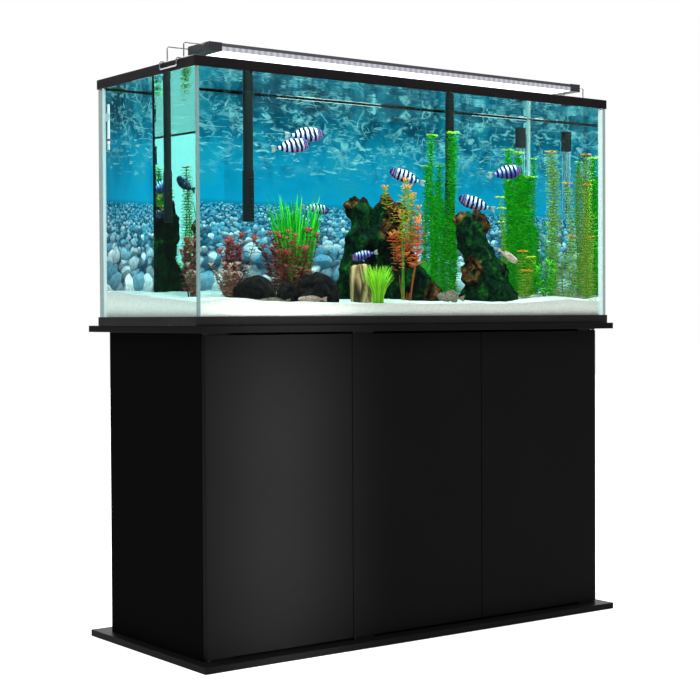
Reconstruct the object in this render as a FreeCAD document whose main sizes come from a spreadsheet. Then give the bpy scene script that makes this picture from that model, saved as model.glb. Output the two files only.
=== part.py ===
import FreeCAD, Part
import math
import os
import Sketcher
from FreeCAD import Placement, Rotation, Vector

# An aquarium on its cabinet stand. Millimetres. The origin is on the floor, under the middle of
# the object's width: +X to the right as seen from the front, +Y to the back, +Z up.

os.makedirs("parts", exist_ok=True)
doc = FreeCAD.newDocument("Aquarium")

# Driving dimensions -----------------------------------------------------------------------------

SIZES = [
    # the stand
    ("stand_height", 736, "floor to the top of the stand"),
    ("board_width", 1226, "top and base boards, side to side"),
    ("board_front", 244, "centre line to the front edge of both boards"),
    ("board_back", 275, "centre line to the back edge of both boards"),
    ("board_thick", 15, "top and base boards"),
    ("edge_round", 1, "eased edges of boards and doors"),
    ("cabinet_width", 1172, "outside of the side panels"),
    ("panel_thick", 16, "side panels and partitions"),
    ("panel_front", 189, "centre line to the front edge of the panels"),
    ("panel_back", 221, "centre line to the back edge of the side panels"),
    ("back_thick", 6, "back panel"),
    ("back_panel_top", 540, "top of the back panel, below the gap for hoses and plugs"),
    ("back_rail_height", 80, "stiffening rail under the top board"),
    ("door_thick", 16, "doors"),
    ("door_standoff", 2, "gap between the doors and the panels"),
    ("door_gap", 2, "gap between two doors"),
    ("hinge_gap", 5, "gap above and below a door, filled by its hinge"),
    ("screw_radius", 2.5, "shank of a carcass screw"),
    ("screw_length", 50, "carcass screw"),
    ("screw_head", 5, "head radius of a carcass screw"),
    ("screw_sink", 3, "height of its countersunk head"),
    ("screw_front", 120, "centre line to the front screws"),
    ("screw_back", 150, "centre line to the back screws"),
    # hinges and latches
    ("plate_thick", 2, "hinge plates"),
    ("plate_length", 60, "hinge plates"),
    ("plate_width", 12, "hinge plates"),
    ("plate_inset", 1, "door edges to the hinge plates"),
    ("pin_inset", 6, "door edge to the hinge pin"),
    ("pin_depth", 4, "door face to the hinge pin"),
    ("pin_radius", 1.5, "hinge pin"),
    ("pin_fit", 0.05, "radial clearance of the pin"),
    ("pin_reach", 6, "pin beyond its own plate"),
    ("pin_room", 0.5, "radial clearance of the pin in the door"),
    ("dowel_radius", 2.5, "dowels that hold a hinge plate"),
    ("dowel_length", 8, "dowels that hold a hinge plate"),
    ("washer_radius", 3.5, "hinge washers"),
    ("latch_size", 14, "push latch housings, width and height"),
    ("latch_length", 55, "push latch housings"),
    ("latch_level", 368, "height of the push latches"),
    ("latch_end", 6, "closed end of a latch housing"),
    ("plunger_radius", 3, "latch plungers"),
    ("plunger_length", 36, "latch plungers"),
    ("plunger_fit", 0.08, "radial clearance of a plunger"),
    ("plunger_gap", 0.3, "plunger tip to the closed door"),
    ("bumper_radius", 3, "door bumpers"),
    ("bumper_thick", 1.7, "door bumpers"),
    ("bumper_inset", 0.5, "door edge to a bumper"),
    ("bumper_level", 60, "bumpers to the bottom and the top of the stand"),
    # the tank
    ("tank_width", 1232, "over the frames"),
    ("tank_depth", 440, "over the frames"),
    ("tank_height", 572, "over the frames"),
    ("glass_thick", 10, "all five panes"),
    ("frame_lip", 3, "frame wall outside the glass"),
    ("frame_fit", 0.2, "clearance between a frame and the glass"),
    ("top_frame_height", 23, "top frame"),
    ("bottom_frame_height", 20, "bottom frame"),
    ("ledge_thick", 4, "ledge of the bottom frame, under the glass"),
    ("top_ledge_thick", 3, "flange of the top frame, over the glass"),
    ("top_ledge_width", 28, "flange of the top frame"),
    ("skirt_thick", 3, "inner skirt of the top frame"),
    ("skirt_height", 12, "inner skirt of the top frame"),
    ("skirt_fit", 0.5, "inner skirt to the glass"),
    ("brace_width", 70, "centre brace of the top frame"),
    ("rim_round", 2, "outer edges of the top frame"),
    ("foot_width", 40, "ledge of the bottom frame"),
    ("bead", 6, "silicone bead inside the corners"),
    ("film_thick", 0.4, "background film on the back pane"),
    ("film_margin", 13, "film edge to the side of the tank"),
    ("film_gap", 1, "film to the frames above and below it"),
    ("sand_front", 36, "sand depth at the front pane"),
    ("sand_rear", 68, "sand depth at the back pane"),
    # the light
    ("light_length", 1118, "light over its end caps"),
    ("light_shift", 13, "middle of the light, to the right of the middle of the tank"),
    ("light_front", 166, "centre line to the front of the light"),
    ("light_depth", 88, "front to back"),
    ("light_lift", 24, "underside of the light above the top frame"),
    ("light_thick", 17, "light"),
    ("cap_length", 32, "end caps"),
    ("cap_proud", 1, "end caps beyond the housing all round"),
    ("shell_thick", 1.5, "housing and diffuser walls"),
    ("diffuser_height", 10, "diffuser, from the underside"),
    ("diffuser_inset", 0.5, "diffuser behind the face of the housing"),
    ("led_board_inset", 2.5, "LED board behind the face of the housing"),
    ("led_board_thick", 1.6, "LED board"),
    ("wire_radius", 1.5, "bracket wire"),
    ("wire_fit", 0.08, "radial clearance of the wire in an end cap"),
    ("wire_inset", 16, "light face to the first leg of a bracket"),
    ("wire_span", 70, "between the two legs of a bracket"),
    ("wire_reach", 28, "wire inside the end cap"),
    ("wire_drop", 4.5, "top of the light to the middle of the wire"),
    ("wire_gap", 1, "wire to the top frame"),
    ("wire_bend", 3.5, "bend radius of the wire"),
    ("leg_inset", 16, "bracket leg to the outside of the frame"),
    ("hook_drop", 15, "hook below the top of the frame"),
    # the filters
    ("filter_offset", 306, "centre line to the middle of each filter"),
    ("filter_width", 220, "filter case"),
    ("filter_depth", 100, "filter case"),
    ("filter_height", 190, "filter case"),
    ("filter_gap", 4, "filter case to the back of the tank"),
    ("filter_rise", 36, "filter case above the top frame"),
    ("filter_wall", 3, "filter case walls"),
    ("lid_thick", 4, "filter lid"),
    ("lid_lip", 6, "lid skirt inside the case"),
    ("lid_fit", 0.5, "clearance of the lid skirt"),
    ("spout_reach", 34, "back of the tank to the tip of the spout"),
    ("spout_lift", 2, "spout above the top frame"),
    ("spout_thick", 4, "spout"),
    ("grip_drop", 16, "inner hook of the case below the top of the frame"),
    ("notch_room", 1.5, "intake tube to the notch in the case"),
    ("notch_reach", 6, "notch behind the front wall of the case"),
    ("cartridge_thick", 12, "filter cartridge"),
    ("cartridge_height", 130, "filter cartridge"),
    ("cartridge_setback", 8, "cartridge to the front wall of the case"),
    ("intake_radius", 13, "intake tube"),
    ("intake_bore", 11, "intake tube, inside"),
    ("intake_line", 170, "centre line to the intake tube inside the tank"),
    ("intake_bend", 28, "bend radius of the intake tube"),
    ("intake_foot", 1100, "height of the joint of tube and strainer"),
    ("intake_lift", 7, "intake tube above the top frame"),
    ("intake_end", 6, "intake tube above the impeller"),
    ("strainer_radius", 15, "strainer"),
    ("strainer_wall", 2, "strainer"),
    ("strainer_slot", 2, "height of a strainer slot"),
    ("slot_width", 16, "strainer slots"),
    ("slot_pitch", 8, "one strainer slot to the next"),
    ("slot_start", 10, "foot of the strainer to its first slot"),
    ("left_strainer_length", 120, "strainer of the left filter"),
    ("right_strainer_length", 200, "strainer of the right filter"),
    ("motor_radius", 22, "filter motor"),
    ("motor_height", 34, "filter motor"),
    ("impeller_radius", 12, "impeller"),
    ("impeller_height", 24, "impeller"),
    ("impeller_lift", 1, "impeller above the floor of the case"),
    # heater and thermometer
    ("heater_radius", 13, "heater tube"),
    ("heater_length", 190, "heater tube"),
    ("heater_foot", 1010, "height of the foot of the heater"),
    ("heater_right", 520, "centre line to the heater, to the right"),
    ("heater_back", 120, "centre line to the heater, to the back"),
    ("heater_cap_radius", 16, "heater cap"),
    ("heater_cap_length", 52, "heater cap"),
    ("thermometer_radius", 5, "thermometer"),
    ("thermometer_length", 106, "thermometer"),
    ("thermometer_foot", 1144, "height of the foot of the thermometer"),
    ("thermometer_inset", 7, "thermometer to the left pane"),
    ("thermometer_back", 194, "centre line to the thermometer, to the back"),
    # what lies in the tank
    ("plant_foot", 780, "height of the roots, in the sand"),
    ("stone_sink", 10, "stones above the glass floor, in the sand"),
]

sheet = doc.addObject("Spreadsheet::Sheet", "Sizes")
for row, (alias, value, note) in enumerate(SIZES, start=1):
    sheet.set(f"A{row}", alias)
    sheet.set(f"B{row}", str(value))
    sheet.set(f"C{row}", note)
    sheet.setAlias(f"B{row}", alias)
doc.recompute()


def size(alias):
    """The number that a cell of the sheet holds."""
    return float(sheet.get(alias))


def spelled(text):
    """A formula over the sheet's aliases, spelled as a FreeCAD expression."""
    words = str(text).replace("(", " ( ").replace(")", " ) ").split()
    known = {alias for alias, value, note in SIZES}
    return " ".join(f"Sizes.{word}" if word in known else word for word in words)


def worked_out(text):
    """The value of a formula over the sheet's aliases, for shapes made without expressions."""
    probe = doc.addObject("Part::Vertex", "Probe")
    probe.setExpression("X", spelled(text))
    doc.recompute([probe])
    value = probe.X.Value
    doc.removeObject(probe.Name)
    return value


# Builders ----------------------------------------------------------------------------------------

made = []


def finished(thing, label):
    """Give a sub-part the label that names its file, and list it for export."""
    thing.Label = label
    made.append(thing)
    return thing


def place(thing, x, y, z):
    """Bind the base of an object's placement to the sheet."""
    for axis, value in (("x", x), ("y", y), ("z", z)):
        thing.setExpression(f"Placement.Base.{axis}", spelled(value))
    return thing


def block(name, low, lengths):
    """A box with its lowest corner at low."""
    thing = doc.addObject("Part::Box", name)
    for side, value in zip(("Length", "Width", "Height"), lengths):
        thing.setExpression(side, spelled(value))
    return place(thing, *low)


def rod(name, radius, length, foot, turn=None):
    """A cylinder that stands on foot, along +Z, or turned."""
    thing = doc.addObject("Part::Cylinder", name)
    thing.setExpression("Radius", spelled(radius))
    thing.setExpression("Height", spelled(length))
    if turn:
        thing.Placement = Placement(Vector(), Rotation(*turn))
    return place(thing, *foot)


def cone(name, foot_radius, top_radius, length, foot):
    """A cone along +Z."""
    thing = doc.addObject("Part::Cone", name)
    thing.setExpression("Radius1", spelled(foot_radius))
    thing.setExpression("Radius2", spelled(top_radius))
    thing.setExpression("Height", spelled(length))
    return place(thing, *foot)


def joined(name, members):
    """Several solids made into one."""
    thing = doc.addObject("Part::MultiFuse", name)
    thing.Shapes = members
    thing.Refine = True
    return thing


def group(name, members):
    """Several separate solids under one name."""
    thing = doc.addObject("Part::Compound", name)
    thing.Links = members
    return thing


def cut(name, base, *tools):
    """The base with each tool taken away."""
    for number, tool in enumerate(tools):
        thing = doc.addObject("Part::Cut", f"{name}_cut{number}")
        thing.Base = base
        thing.Tool = tool
        base = thing
    return base


def origin_plane(body, role):
    """The body's own origin plane with this role."""
    return next(f for f in body.Origin.OriginFeatures if f.Role == role)


def rectangle(sketch, width, depth):
    """Four lines about the sketch's origin, with both sizes bound to the sheet."""
    x, y = worked_out(width) / 2, worked_out(depth) / 2
    corners = [Vector(-x, -y), Vector(x, -y), Vector(x, y), Vector(-x, y)]
    for i in range(4):
        sketch.addGeometry(Part.LineSegment(corners[i], corners[(i + 1) % 4]), False)
    for i in range(4):
        sketch.addConstraint(Sketcher.Constraint("Coincident", i, 2, (i + 1) % 4, 1))
    for i in (0, 2):
        sketch.addConstraint(Sketcher.Constraint("Horizontal", i))
        sketch.addConstraint(Sketcher.Constraint("Vertical", i + 1))
    sketch.addConstraint(Sketcher.Constraint("Symmetric", 0, 1, 2, 1, -1, 1))
    across = sketch.addConstraint(Sketcher.Constraint("DistanceX", 0, 1, 0, 2, 2 * x))
    along = sketch.addConstraint(Sketcher.Constraint("DistanceY", 1, 1, 1, 2, 2 * y))
    sketch.setExpression(f"Constraints[{across}]", spelled(width))
    sketch.setExpression(f"Constraints[{along}]", spelled(depth))


def slab(name, centre, lengths, eased=None):
    """A body padded from a rectangle. centre is the middle of its underside; eased names the
    cell that holds the radius of its edges."""
    body = doc.addObject("PartDesign::Body", name)
    sketch = body.newObject("Sketcher::SketchObject", f"{name}_outline")
    sketch.AttachmentSupport = (origin_plane(body, "XY_Plane"), [""])
    sketch.MapMode = "FlatFace"
    rectangle(sketch, lengths[0], lengths[1])
    pad = body.newObject("PartDesign::Pad", f"{name}_pad")
    pad.Profile = sketch
    pad.setExpression("Length", spelled(lengths[2]))
    if eased:
        doc.recompute()
        rounding = body.newObject("PartDesign::Fillet", f"{name}_edges")
        rounding.Base = (pad, [f"Edge{i + 1}" for i in range(len(pad.Shape.Edges))])
        rounding.setExpression("Radius", spelled(eased))
    return place(body, *centre)


def shape_part(name, shape):
    """A free shape worked out from the sheet."""
    thing = doc.addObject("Part::Feature", name)
    thing.Shape = shape
    thing.Placement = Placement()
    return thing


def bent_path(corners, radius):
    """Straight runs joined by tangent arcs, as one wire. radius may be one number or one each."""
    edges = []
    start = corners[0]
    for i in range(1, len(corners) - 1):
        before = (corners[i - 1] - corners[i]).normalize()
        after = (corners[i + 1] - corners[i]).normalize()
        turn = math.pi - before.getAngle(after)
        back = radius * math.tan(turn / 2)
        a = corners[i] + before * back
        b = corners[i] + after * back
        inward = (before + after).normalize()
        centre = corners[i] + inward * (radius / math.cos(turn / 2))
        middle = centre - inward * radius
        edges.append(Part.LineSegment(start, a).toShape())
        edges.append(Part.Arc(a, middle, b).toShape())
        start = b
    edges.append(Part.LineSegment(start, corners[-1]).toShape())
    return Part.Wire(edges)


def swept(path, radius):
    """A round bar along a path."""
    first = path.Edges[0]
    along = first.tangentAt(first.FirstParameter)
    ring = Part.Wire(Part.makeCircle(radius, first.valueAt(first.FirstParameter), along))
    return path.makePipeShell([ring], True, False)


# The stand ---------------------------------------------------------------------------------------

BOARD_TOP = "( stand_height - board_thick )"
PANEL_LENGTH = "( stand_height - 2 * board_thick )"
SEAM = "( cabinet_width / 6 )"
DOOR_BACK = "( panel_front + door_standoff )"
DOOR_FACE = "( panel_front + door_standoff + door_thick )"

panel_lines = {
    "left_side_panel": "( panel_thick / 2 - cabinet_width / 2 )",
    "left_partition": f"( 0 - {SEAM} )",
    "right_partition": SEAM,
    "right_side_panel": "( cabinet_width / 2 - panel_thick / 2 )",
}

screws = []
screw_lines = {"front": "0 - screw_front", "back": "screw_back"}
for panel_name, line in panel_lines.items():
    for end, depth in screw_lines.items():
        tag = f"{panel_name}_{end}"
        low_head = cone(f"{tag}_low_head", "screw_head", "screw_radius", "screw_sink", (line, depth, "0"))
        low_shank = rod(f"{tag}_low_shank", "screw_radius", "screw_length", (line, depth, "0"))
        screws.append(joined(f"{tag}_low_screw", [low_head, low_shank]))
        high_head = cone(
            f"{tag}_high_head",
            "screw_radius",
            "screw_head",
            "screw_sink",
            (line, depth, "stand_height - screw_sink"),
        )
        high_shank = rod(
            f"{tag}_high_shank",
            "screw_radius",
            "screw_length",
            (line, depth, "stand_height - screw_length"),
        )
        screws.append(joined(f"{tag}_high_screw", [high_head, high_shank]))
carcass_screws = finished(group("carcass_screws", screws), "carcass_screws")

# Hinges: a pin in a fixed plate at the top and bottom of each door, with a washer between the
# fixed plate and the plate on the door.
doors = {
    "left_door": ("( 0 - cabinet_width / 2 )", f"( 0 - {SEAM} - door_gap / 2 )", 1),
    "centre_door": (f"( door_gap / 2 - {SEAM} )", f"( {SEAM} - door_gap / 2 )", 1),
    "right_door": ("( cabinet_width / 2 )", f"( {SEAM} + door_gap / 2 )", -1),
}
PLATE_MIDDLE = f"( 0 - {DOOR_FACE} + plate_inset + plate_width / 2 )"
DOWEL_SHARES = (0.4, 0.85)
DOOR_LOW = "( board_thick + hinge_gap )"
DOOR_HIGH = "( stand_height - board_thick - hinge_gap )"
fixed_plates, washers, door_plates = [], [], {}
for door_name, (hinge_side, latch_side, way) in doors.items():
    pin_x = f"( {hinge_side} + {way} * pin_inset )"
    pin_y = f"( 0 - {DOOR_FACE} + pin_depth )"
    plate_x = f"( {hinge_side} + {way} * ( plate_inset + plate_length / 2 ) - plate_length / 2 )"
    plate_y = f"( {PLATE_MIDDLE} - plate_width / 2 )"
    door_plates[door_name] = []
    for end in ("low", "high"):
        up = end == "low"
        tag = f"{door_name}_{end}"
        fixed_z = "board_thick" if up else f"{BOARD_TOP} - plate_thick"
        swing_z = f"{DOOR_LOW} - plate_thick" if up else DOOR_HIGH
        washer_z = "board_thick + plate_thick" if up else f"{DOOR_HIGH} + plate_thick"
        pin_z = "board_thick" if up else f"{BOARD_TOP} - plate_thick - pin_reach"
        plate_size = ("plate_length", "plate_width", "plate_thick")
        fixed = [block(f"{tag}_fixed_plate", (plate_x, plate_y, fixed_z), plate_size)]
        fixed.append(rod(f"{tag}_pin", "pin_radius", "pin_reach + plate_thick", (pin_x, pin_y, pin_z)))
        swing = [block(f"{tag}_swing_plate", (plate_x, plate_y, swing_z), plate_size)]
        into_board = "board_thick - dowel_length" if up else BOARD_TOP
        into_door = DOOR_LOW if up else f"{DOOR_HIGH} - dowel_length"
        for number, share in enumerate(DOWEL_SHARES):
            dowel_x = f"( {hinge_side} + {way} * {share} * plate_length )"
            board_foot = (dowel_x, PLATE_MIDDLE, into_board)
            door_foot = (dowel_x, PLATE_MIDDLE, into_door)
            fixed.append(rod(f"{tag}_dowel{number}", "dowel_radius", "dowel_length", board_foot))
            swing.append(rod(f"{tag}_peg{number}", "dowel_radius", "dowel_length", door_foot))
        fixed_plates.append(joined(f"{tag}_fixed", fixed))
        bore = rod(f"{tag}_bore", "pin_radius + pin_fit", "plate_thick", (pin_x, pin_y, swing_z))
        door_plates[door_name].append(cut(f"{tag}_swing", joined(f"{tag}_swing_solid", swing), bore))
        washer_foot = (pin_x, pin_y, washer_z)
        disc = rod(f"{tag}_disc", "washer_radius", "hinge_gap - 2 * plate_thick", washer_foot)
        hole = rod(f"{tag}_disc_hole", "pin_radius", "hinge_gap - 2 * plate_thick", washer_foot)
        washers.append(cut(f"{tag}_washer", disc, hole))
hinge_plates = finished(group("hinge_plates", fixed_plates), "hinge_plates")
finished(group("hinge_washers", washers), "hinge_washers")

for name, level in (("base_board", "0"), ("top_board", BOARD_TOP)):
    blank = slab(
        f"{name}_blank",
        ("0", "( board_back - board_front ) / 2", level),
        ("board_width", "board_front + board_back", "board_thick"),
        eased="edge_round",
    )
    finished(cut(name, blank, carcass_screws, hinge_plates), name)

panel_depths = {
    "left_side_panel": "panel_back",
    "left_partition": "( panel_back - panel_thick )",
    "right_partition": "( panel_back - panel_thick )",
    "right_side_panel": "panel_back",
}
for name, line in panel_lines.items():
    back = panel_depths[name]
    blank = slab(
        f"{name}_blank",
        (line, f"( {back} - panel_front ) / 2", "board_thick"),
        ("panel_thick", f"panel_front + {back}", PANEL_LENGTH),
    )
    finished(cut(name, blank, carcass_screws), name)

finished(
    slab(
        "back_panel",
        ("0", "panel_back - panel_thick + back_thick / 2", "board_thick"),
        ("cabinet_width - 2 * panel_thick", "back_thick", "back_panel_top - board_thick"),
    ),
    "back_panel",
)
finished(
    slab(
        "back_rail",
        ("0", "panel_back - panel_thick / 2", f"{BOARD_TOP} - back_rail_height"),
        ("cabinet_width - 2 * panel_thick", "panel_thick", "back_rail_height"),
    ),
    "back_rail",
)

for name, (hinge_side, latch_side, way) in doors.items():
    plates = finished(group(f"{name}_hinge_plates", door_plates[name]), f"{name}_hinge_plates")
    blank = slab(
        f"{name}_blank",
        (f"( {hinge_side} + {latch_side} ) / 2", f"0 - {DOOR_BACK} - door_thick / 2", DOOR_LOW),
        (f"{way} * ( {latch_side} - {hinge_side} )", "door_thick", f"{DOOR_HIGH} - {DOOR_LOW}"),
        eased="edge_round",
    )
    pin_x = f"( {hinge_side} + {way} * pin_inset )"
    pin_y = f"( 0 - {DOOR_FACE} + pin_depth )"
    holes = []
    for end, foot in (("low", DOOR_LOW), ("high", f"{DOOR_HIGH} - pin_reach")):
        holes.append(rod(f"{name}_{end}_hole", "pin_radius + pin_room", "pin_reach", (pin_x, pin_y, foot)))
    finished(cut(name, blank, plates, *holes), name)

# Push latches beside the free edge of each door: a housing with a sprung plunger.
latches = {
    "left": f"( 0 - {SEAM} - panel_thick / 2 - latch_size / 2 )",
    "centre": f"( {SEAM} - panel_thick / 2 - latch_size / 2 )",
    "right": f"( {SEAM} + panel_thick / 2 + latch_size / 2 )",
}
ALONG_Y = (Vector(1, 0, 0), -90)
housings = []
for name, line in latches.items():
    shell = block(
        f"{name}_latch_shell",
        (f"{line} - latch_size / 2", "0 - panel_front", "latch_level - latch_size / 2"),
        ("latch_size", "latch_length", "latch_size"),
    )
    bore = rod(
        f"{name}_latch_bore",
        "plunger_radius + plunger_fit",
        "latch_length - latch_end",
        (line, "0 - panel_front", "latch_level"),
        turn=ALONG_Y,
    )
    housings.append(cut(f"{name}_latch_housing", shell, bore))
    finished(
        rod(
            f"{name}_latch_plunger",
            "plunger_radius",
            "plunger_length",
            (line, f"plunger_gap - {DOOR_BACK}", "latch_level"),
            turn=ALONG_Y,
        ),
        f"{name}_latch_plunger",
    )
finished(group("latch_housings", housings), "latch_housings")

bumper_lines = {
    "left": f"( 0 - {SEAM} - door_gap / 2 - bumper_radius - bumper_inset )",
    "centre": f"( {SEAM} - door_gap / 2 - bumper_radius - bumper_inset )",
    "right": f"( {SEAM} + door_gap / 2 + bumper_radius + bumper_inset )",
}
bumpers = []
for name, line in bumper_lines.items():
    for number, level in enumerate(("bumper_level", "stand_height - bumper_level")):
        bumpers.append(
            rod(
                f"{name}_bumper{number}",
                "bumper_radius",
                "bumper_thick",
                (line, "0 - panel_front - bumper_thick", level),
                turn=ALONG_Y,
            )
        )
finished(group("door_bumpers", bumpers), "door_bumpers")

# The tank ----------------------------------------------------------------------------------------

TANK_TOP = "( stand_height + tank_height )"
HALF_GLASS = "( tank_width / 2 - frame_lip )"
HALF_GLASS_DEEP = "( tank_depth / 2 - frame_lip )"
GLASS_LOW = "( stand_height + ledge_thick )"
GLASS_HIGH = f"( {TANK_TOP} - top_ledge_thick )"
GLASS_TALL = f"( {GLASS_HIGH} - {GLASS_LOW} )"
INNER_HALF = f"( {HALF_GLASS} - glass_thick )"
INNER_HALF_DEEP = f"( {HALF_GLASS_DEEP} - glass_thick )"
FLOOR = f"( {GLASS_LOW} + glass_thick )"


def tank_block(name, half_width, half_depth, low, high):
    """A box about the middle of the tank, from level low to level high."""
    return block(
        name,
        (f"0 - {half_width}", f"0 - {half_depth}", low),
        (f"2 * {half_width}", f"2 * {half_depth}", f"{high} - {low}"),
    )


for name, way in (("front_pane", -1), ("back_pane", 1)):
    finished(
        slab(
            name,
            ("0", f"{way} * ( {HALF_GLASS_DEEP} - glass_thick / 2 )", GLASS_LOW),
            (f"2 * {INNER_HALF}", "glass_thick", GLASS_TALL),
        ),
        name,
    )
for name, way in (("left_pane", -1), ("right_pane", 1)):
    finished(
        slab(
            name,
            (f"{way} * ( {HALF_GLASS} - glass_thick / 2 )", "0", GLASS_LOW),
            ("glass_thick", f"2 * {HALF_GLASS_DEEP}", GLASS_TALL),
        ),
        name,
    )
floor_size = (f"2 * {INNER_HALF}", f"2 * {INNER_HALF_DEEP}", "glass_thick")
finished(slab("bottom_pane", ("0", "0", GLASS_LOW), floor_size), "bottom_pane")

# The bead fills the four upright corners and the four corners along the floor.
bead_top = f"( {TANK_TOP} - top_frame_height )"
inside = tank_block("bead_inside", INNER_HALF, INNER_HALF_DEEP, FLOOR, bead_top)
doc.recompute()
hollow = doc.addObject("Part::Fillet", "bead_hollow")
hollow.Base = inside
bead = size("bead")
rounded = []
for index, edge in enumerate(inside.Shape.Edges, start=1):
    box = edge.BoundBox
    upright = box.ZLength > bead
    on_floor = not upright and abs(box.ZMin - worked_out(FLOOR)) < 0.01
    if upright or on_floor:
        rounded.append((index, bead, bead))
hollow.Edges = rounded
silicone = finished(cut("silicone_seams", inside, hollow), "silicone_seams")

rim_outer = tank_block("rim_outer", "tank_width / 2", "tank_depth / 2", bead_top, TANK_TOP)
rim_rounded = doc.addObject("Part::Fillet", "rim_rounded")
rim_rounded.Base = rim_outer
doc.recompute()
rim_edges = []
for index, edge in enumerate(rim_outer.Shape.Edges, start=1):
    if edge.BoundBox.ZMax > worked_out(TANK_TOP) - 0.01:
        rim_edges.append((index, size("rim_round"), size("rim_round")))
rim_rounded.Edges = rim_edges
rim_seat = tank_block(
    "rim_seat",
    f"( {HALF_GLASS} + frame_fit )",
    f"( {HALF_GLASS_DEEP} + frame_fit )",
    bead_top,
    GLASS_HIGH,
)
skirt_low = f"( {GLASS_HIGH} - skirt_height )"
skirt_outer = tank_block(
    "skirt_outer",
    f"( {INNER_HALF} - skirt_fit )",
    f"( {INNER_HALF_DEEP} - skirt_fit )",
    skirt_low,
    GLASS_HIGH,
)
skirt_inner = tank_block(
    "skirt_inner",
    f"( {INNER_HALF} - skirt_fit - skirt_thick )",
    f"( {INNER_HALF_DEEP} - skirt_fit - skirt_thick )",
    skirt_low,
    GLASS_HIGH,
)
mouth_half = "( tank_width / 2 - top_ledge_width )"
mouth_deep = "( tank_depth / 2 - top_ledge_width )"
mouths = []
for name, way in (("left_mouth", -1), ("right_mouth", 1)):
    middle = f"( {way} * ( {mouth_half} + brace_width / 2 ) / 2 )"
    span = f"( {mouth_half} - brace_width / 2 )"
    mouths.append(
        block(
            name,
            (f"{middle} - {span} / 2", f"0 - {mouth_deep}", GLASS_HIGH),
            (span, f"2 * {mouth_deep}", "top_ledge_thick"),
        )
    )
skirt = cut("skirt", skirt_outer, skirt_inner)
rim = cut("rim", rim_rounded, rim_seat, *mouths)
finished(joined("top_frame_whole", [rim, skirt]), "top_frame")

foot_high = "( stand_height + bottom_frame_height )"
foot_outer = tank_block("foot_outer", "tank_width / 2", "tank_depth / 2", "stand_height", foot_high)
foot_seat = tank_block(
    "foot_seat",
    f"( {HALF_GLASS} + frame_fit )",
    f"( {HALF_GLASS_DEEP} + frame_fit )",
    GLASS_LOW,
    foot_high,
)
foot_mouth = tank_block(
    "foot_mouth",
    "( tank_width / 2 - foot_width )",
    "( tank_depth / 2 - foot_width )",
    "stand_height",
    GLASS_LOW,
)
finished(cut("bottom_frame", foot_outer, foot_seat, foot_mouth), "bottom_frame")

finished(
    slab(
        "background_film",
        (
            "0",
            f"{HALF_GLASS_DEEP} + film_thick / 2",
            "stand_height + bottom_frame_height + film_gap",
        ),
        (
            "tank_width - 2 * film_margin",
            "film_thick",
            "tank_height - bottom_frame_height - top_frame_height - 2 * film_gap",
        ),
    ),
    "background_film",
)

# The light ---------------------------------------------------------------------------------------

LIGHT_LOW = f"( {TANK_TOP} + light_lift )"
LIGHT_HIGH = f"( {LIGHT_LOW} + light_thick )"
LIGHT_LEFT = "( light_shift - light_length / 2 )"
BETWEEN_CAPS = "( light_length - 2 * cap_length )"
housing_low = f"( {LIGHT_LOW} + diffuser_height )"


def light_block(name, inset, low, high):
    """A box between the end caps of the light, inset from its front and back."""
    return block(
        name,
        (f"{LIGHT_LEFT} + cap_length", f"{inset} - light_front", low),
        (BETWEEN_CAPS, f"light_depth - 2 * {inset}", f"{high} - {low}"),
    )


housing_outer = light_block("housing_outer", "0", housing_low, LIGHT_HIGH)
housing_inner = light_block("housing_inner", "shell_thick", housing_low, f"( {LIGHT_HIGH} - shell_thick )")
finished(cut("light_housing", housing_outer, housing_inner), "light_housing")
diffuser_outer = light_block("diffuser_outer", "diffuser_inset", LIGHT_LOW, housing_low)
diffuser_inner = light_block(
    "diffuser_inner", "( diffuser_inset + shell_thick )", f"( {LIGHT_LOW} + shell_thick )", housing_low
)
finished(cut("light_diffuser", diffuser_outer, diffuser_inner), "light_diffuser")
finished(
    light_block(
        "led_board",
        "led_board_inset",
        f"( {LIGHT_HIGH} - shell_thick - led_board_thick )",
        f"( {LIGHT_HIGH} - shell_thick )",
    ),
    "led_board",
)

wire_level = worked_out(f"{LIGHT_HIGH} - wire_drop")
wire_y = [worked_out("wire_inset - light_front"), worked_out("wire_inset + wire_span - light_front")]
rim_level = worked_out(f"{TANK_TOP} + wire_radius + wire_gap")
hook_x = worked_out("tank_width / 2 + wire_radius + wire_gap")
leg_x = worked_out("tank_width / 2 - leg_inset")
hook_low = worked_out(f"{TANK_TOP} - hook_drop")
for side, way in (("left", -1), ("right", 1)):
    cap_x = f"( light_shift + {way} * ( light_length / 2 - cap_length / 2 ) - cap_length / 2 )"
    cap_block = block(
        f"{side}_cap_block",
        (cap_x, "0 - light_front - cap_proud", f"{LIGHT_LOW} - cap_proud"),
        ("cap_length", "light_depth + 2 * cap_proud", "light_thick + 2 * cap_proud"),
    )
    inner_end = worked_out(f"light_shift + {way} * ( light_length / 2 - wire_reach )")
    channels = []
    for number, line in enumerate(wire_y):
        channel = Part.makeCylinder(
            size("wire_radius") + size("wire_fit"),
            size("wire_reach") + 1,
            Vector(inner_end - way, line, wire_level),
            Vector(way, 0, 0),
        )
        channels.append(shape_part(f"{side}_wire_channel{number}", channel))
    finished(cut(f"{side}_end_cap", cap_block, *channels), f"{side}_end_cap")

    corners = [Vector(inner_end, wire_y[0], wire_level)]
    corners.append(Vector(way * leg_x, wire_y[0], wire_level))
    corners.append(Vector(way * leg_x, wire_y[0], rim_level))
    corners.append(Vector(way * hook_x, wire_y[0], rim_level))
    corners.append(Vector(way * hook_x, wire_y[0], hook_low))
    corners += [Vector(c.x, wire_y[1], c.z) for c in reversed(corners)]
    wire = swept(bent_path(corners, size("wire_bend")), size("wire_radius"))
    finished(shape_part(f"{side}_light_bracket", wire), f"{side}_light_bracket")

# The filters -------------------------------------------------------------------------------------

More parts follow.
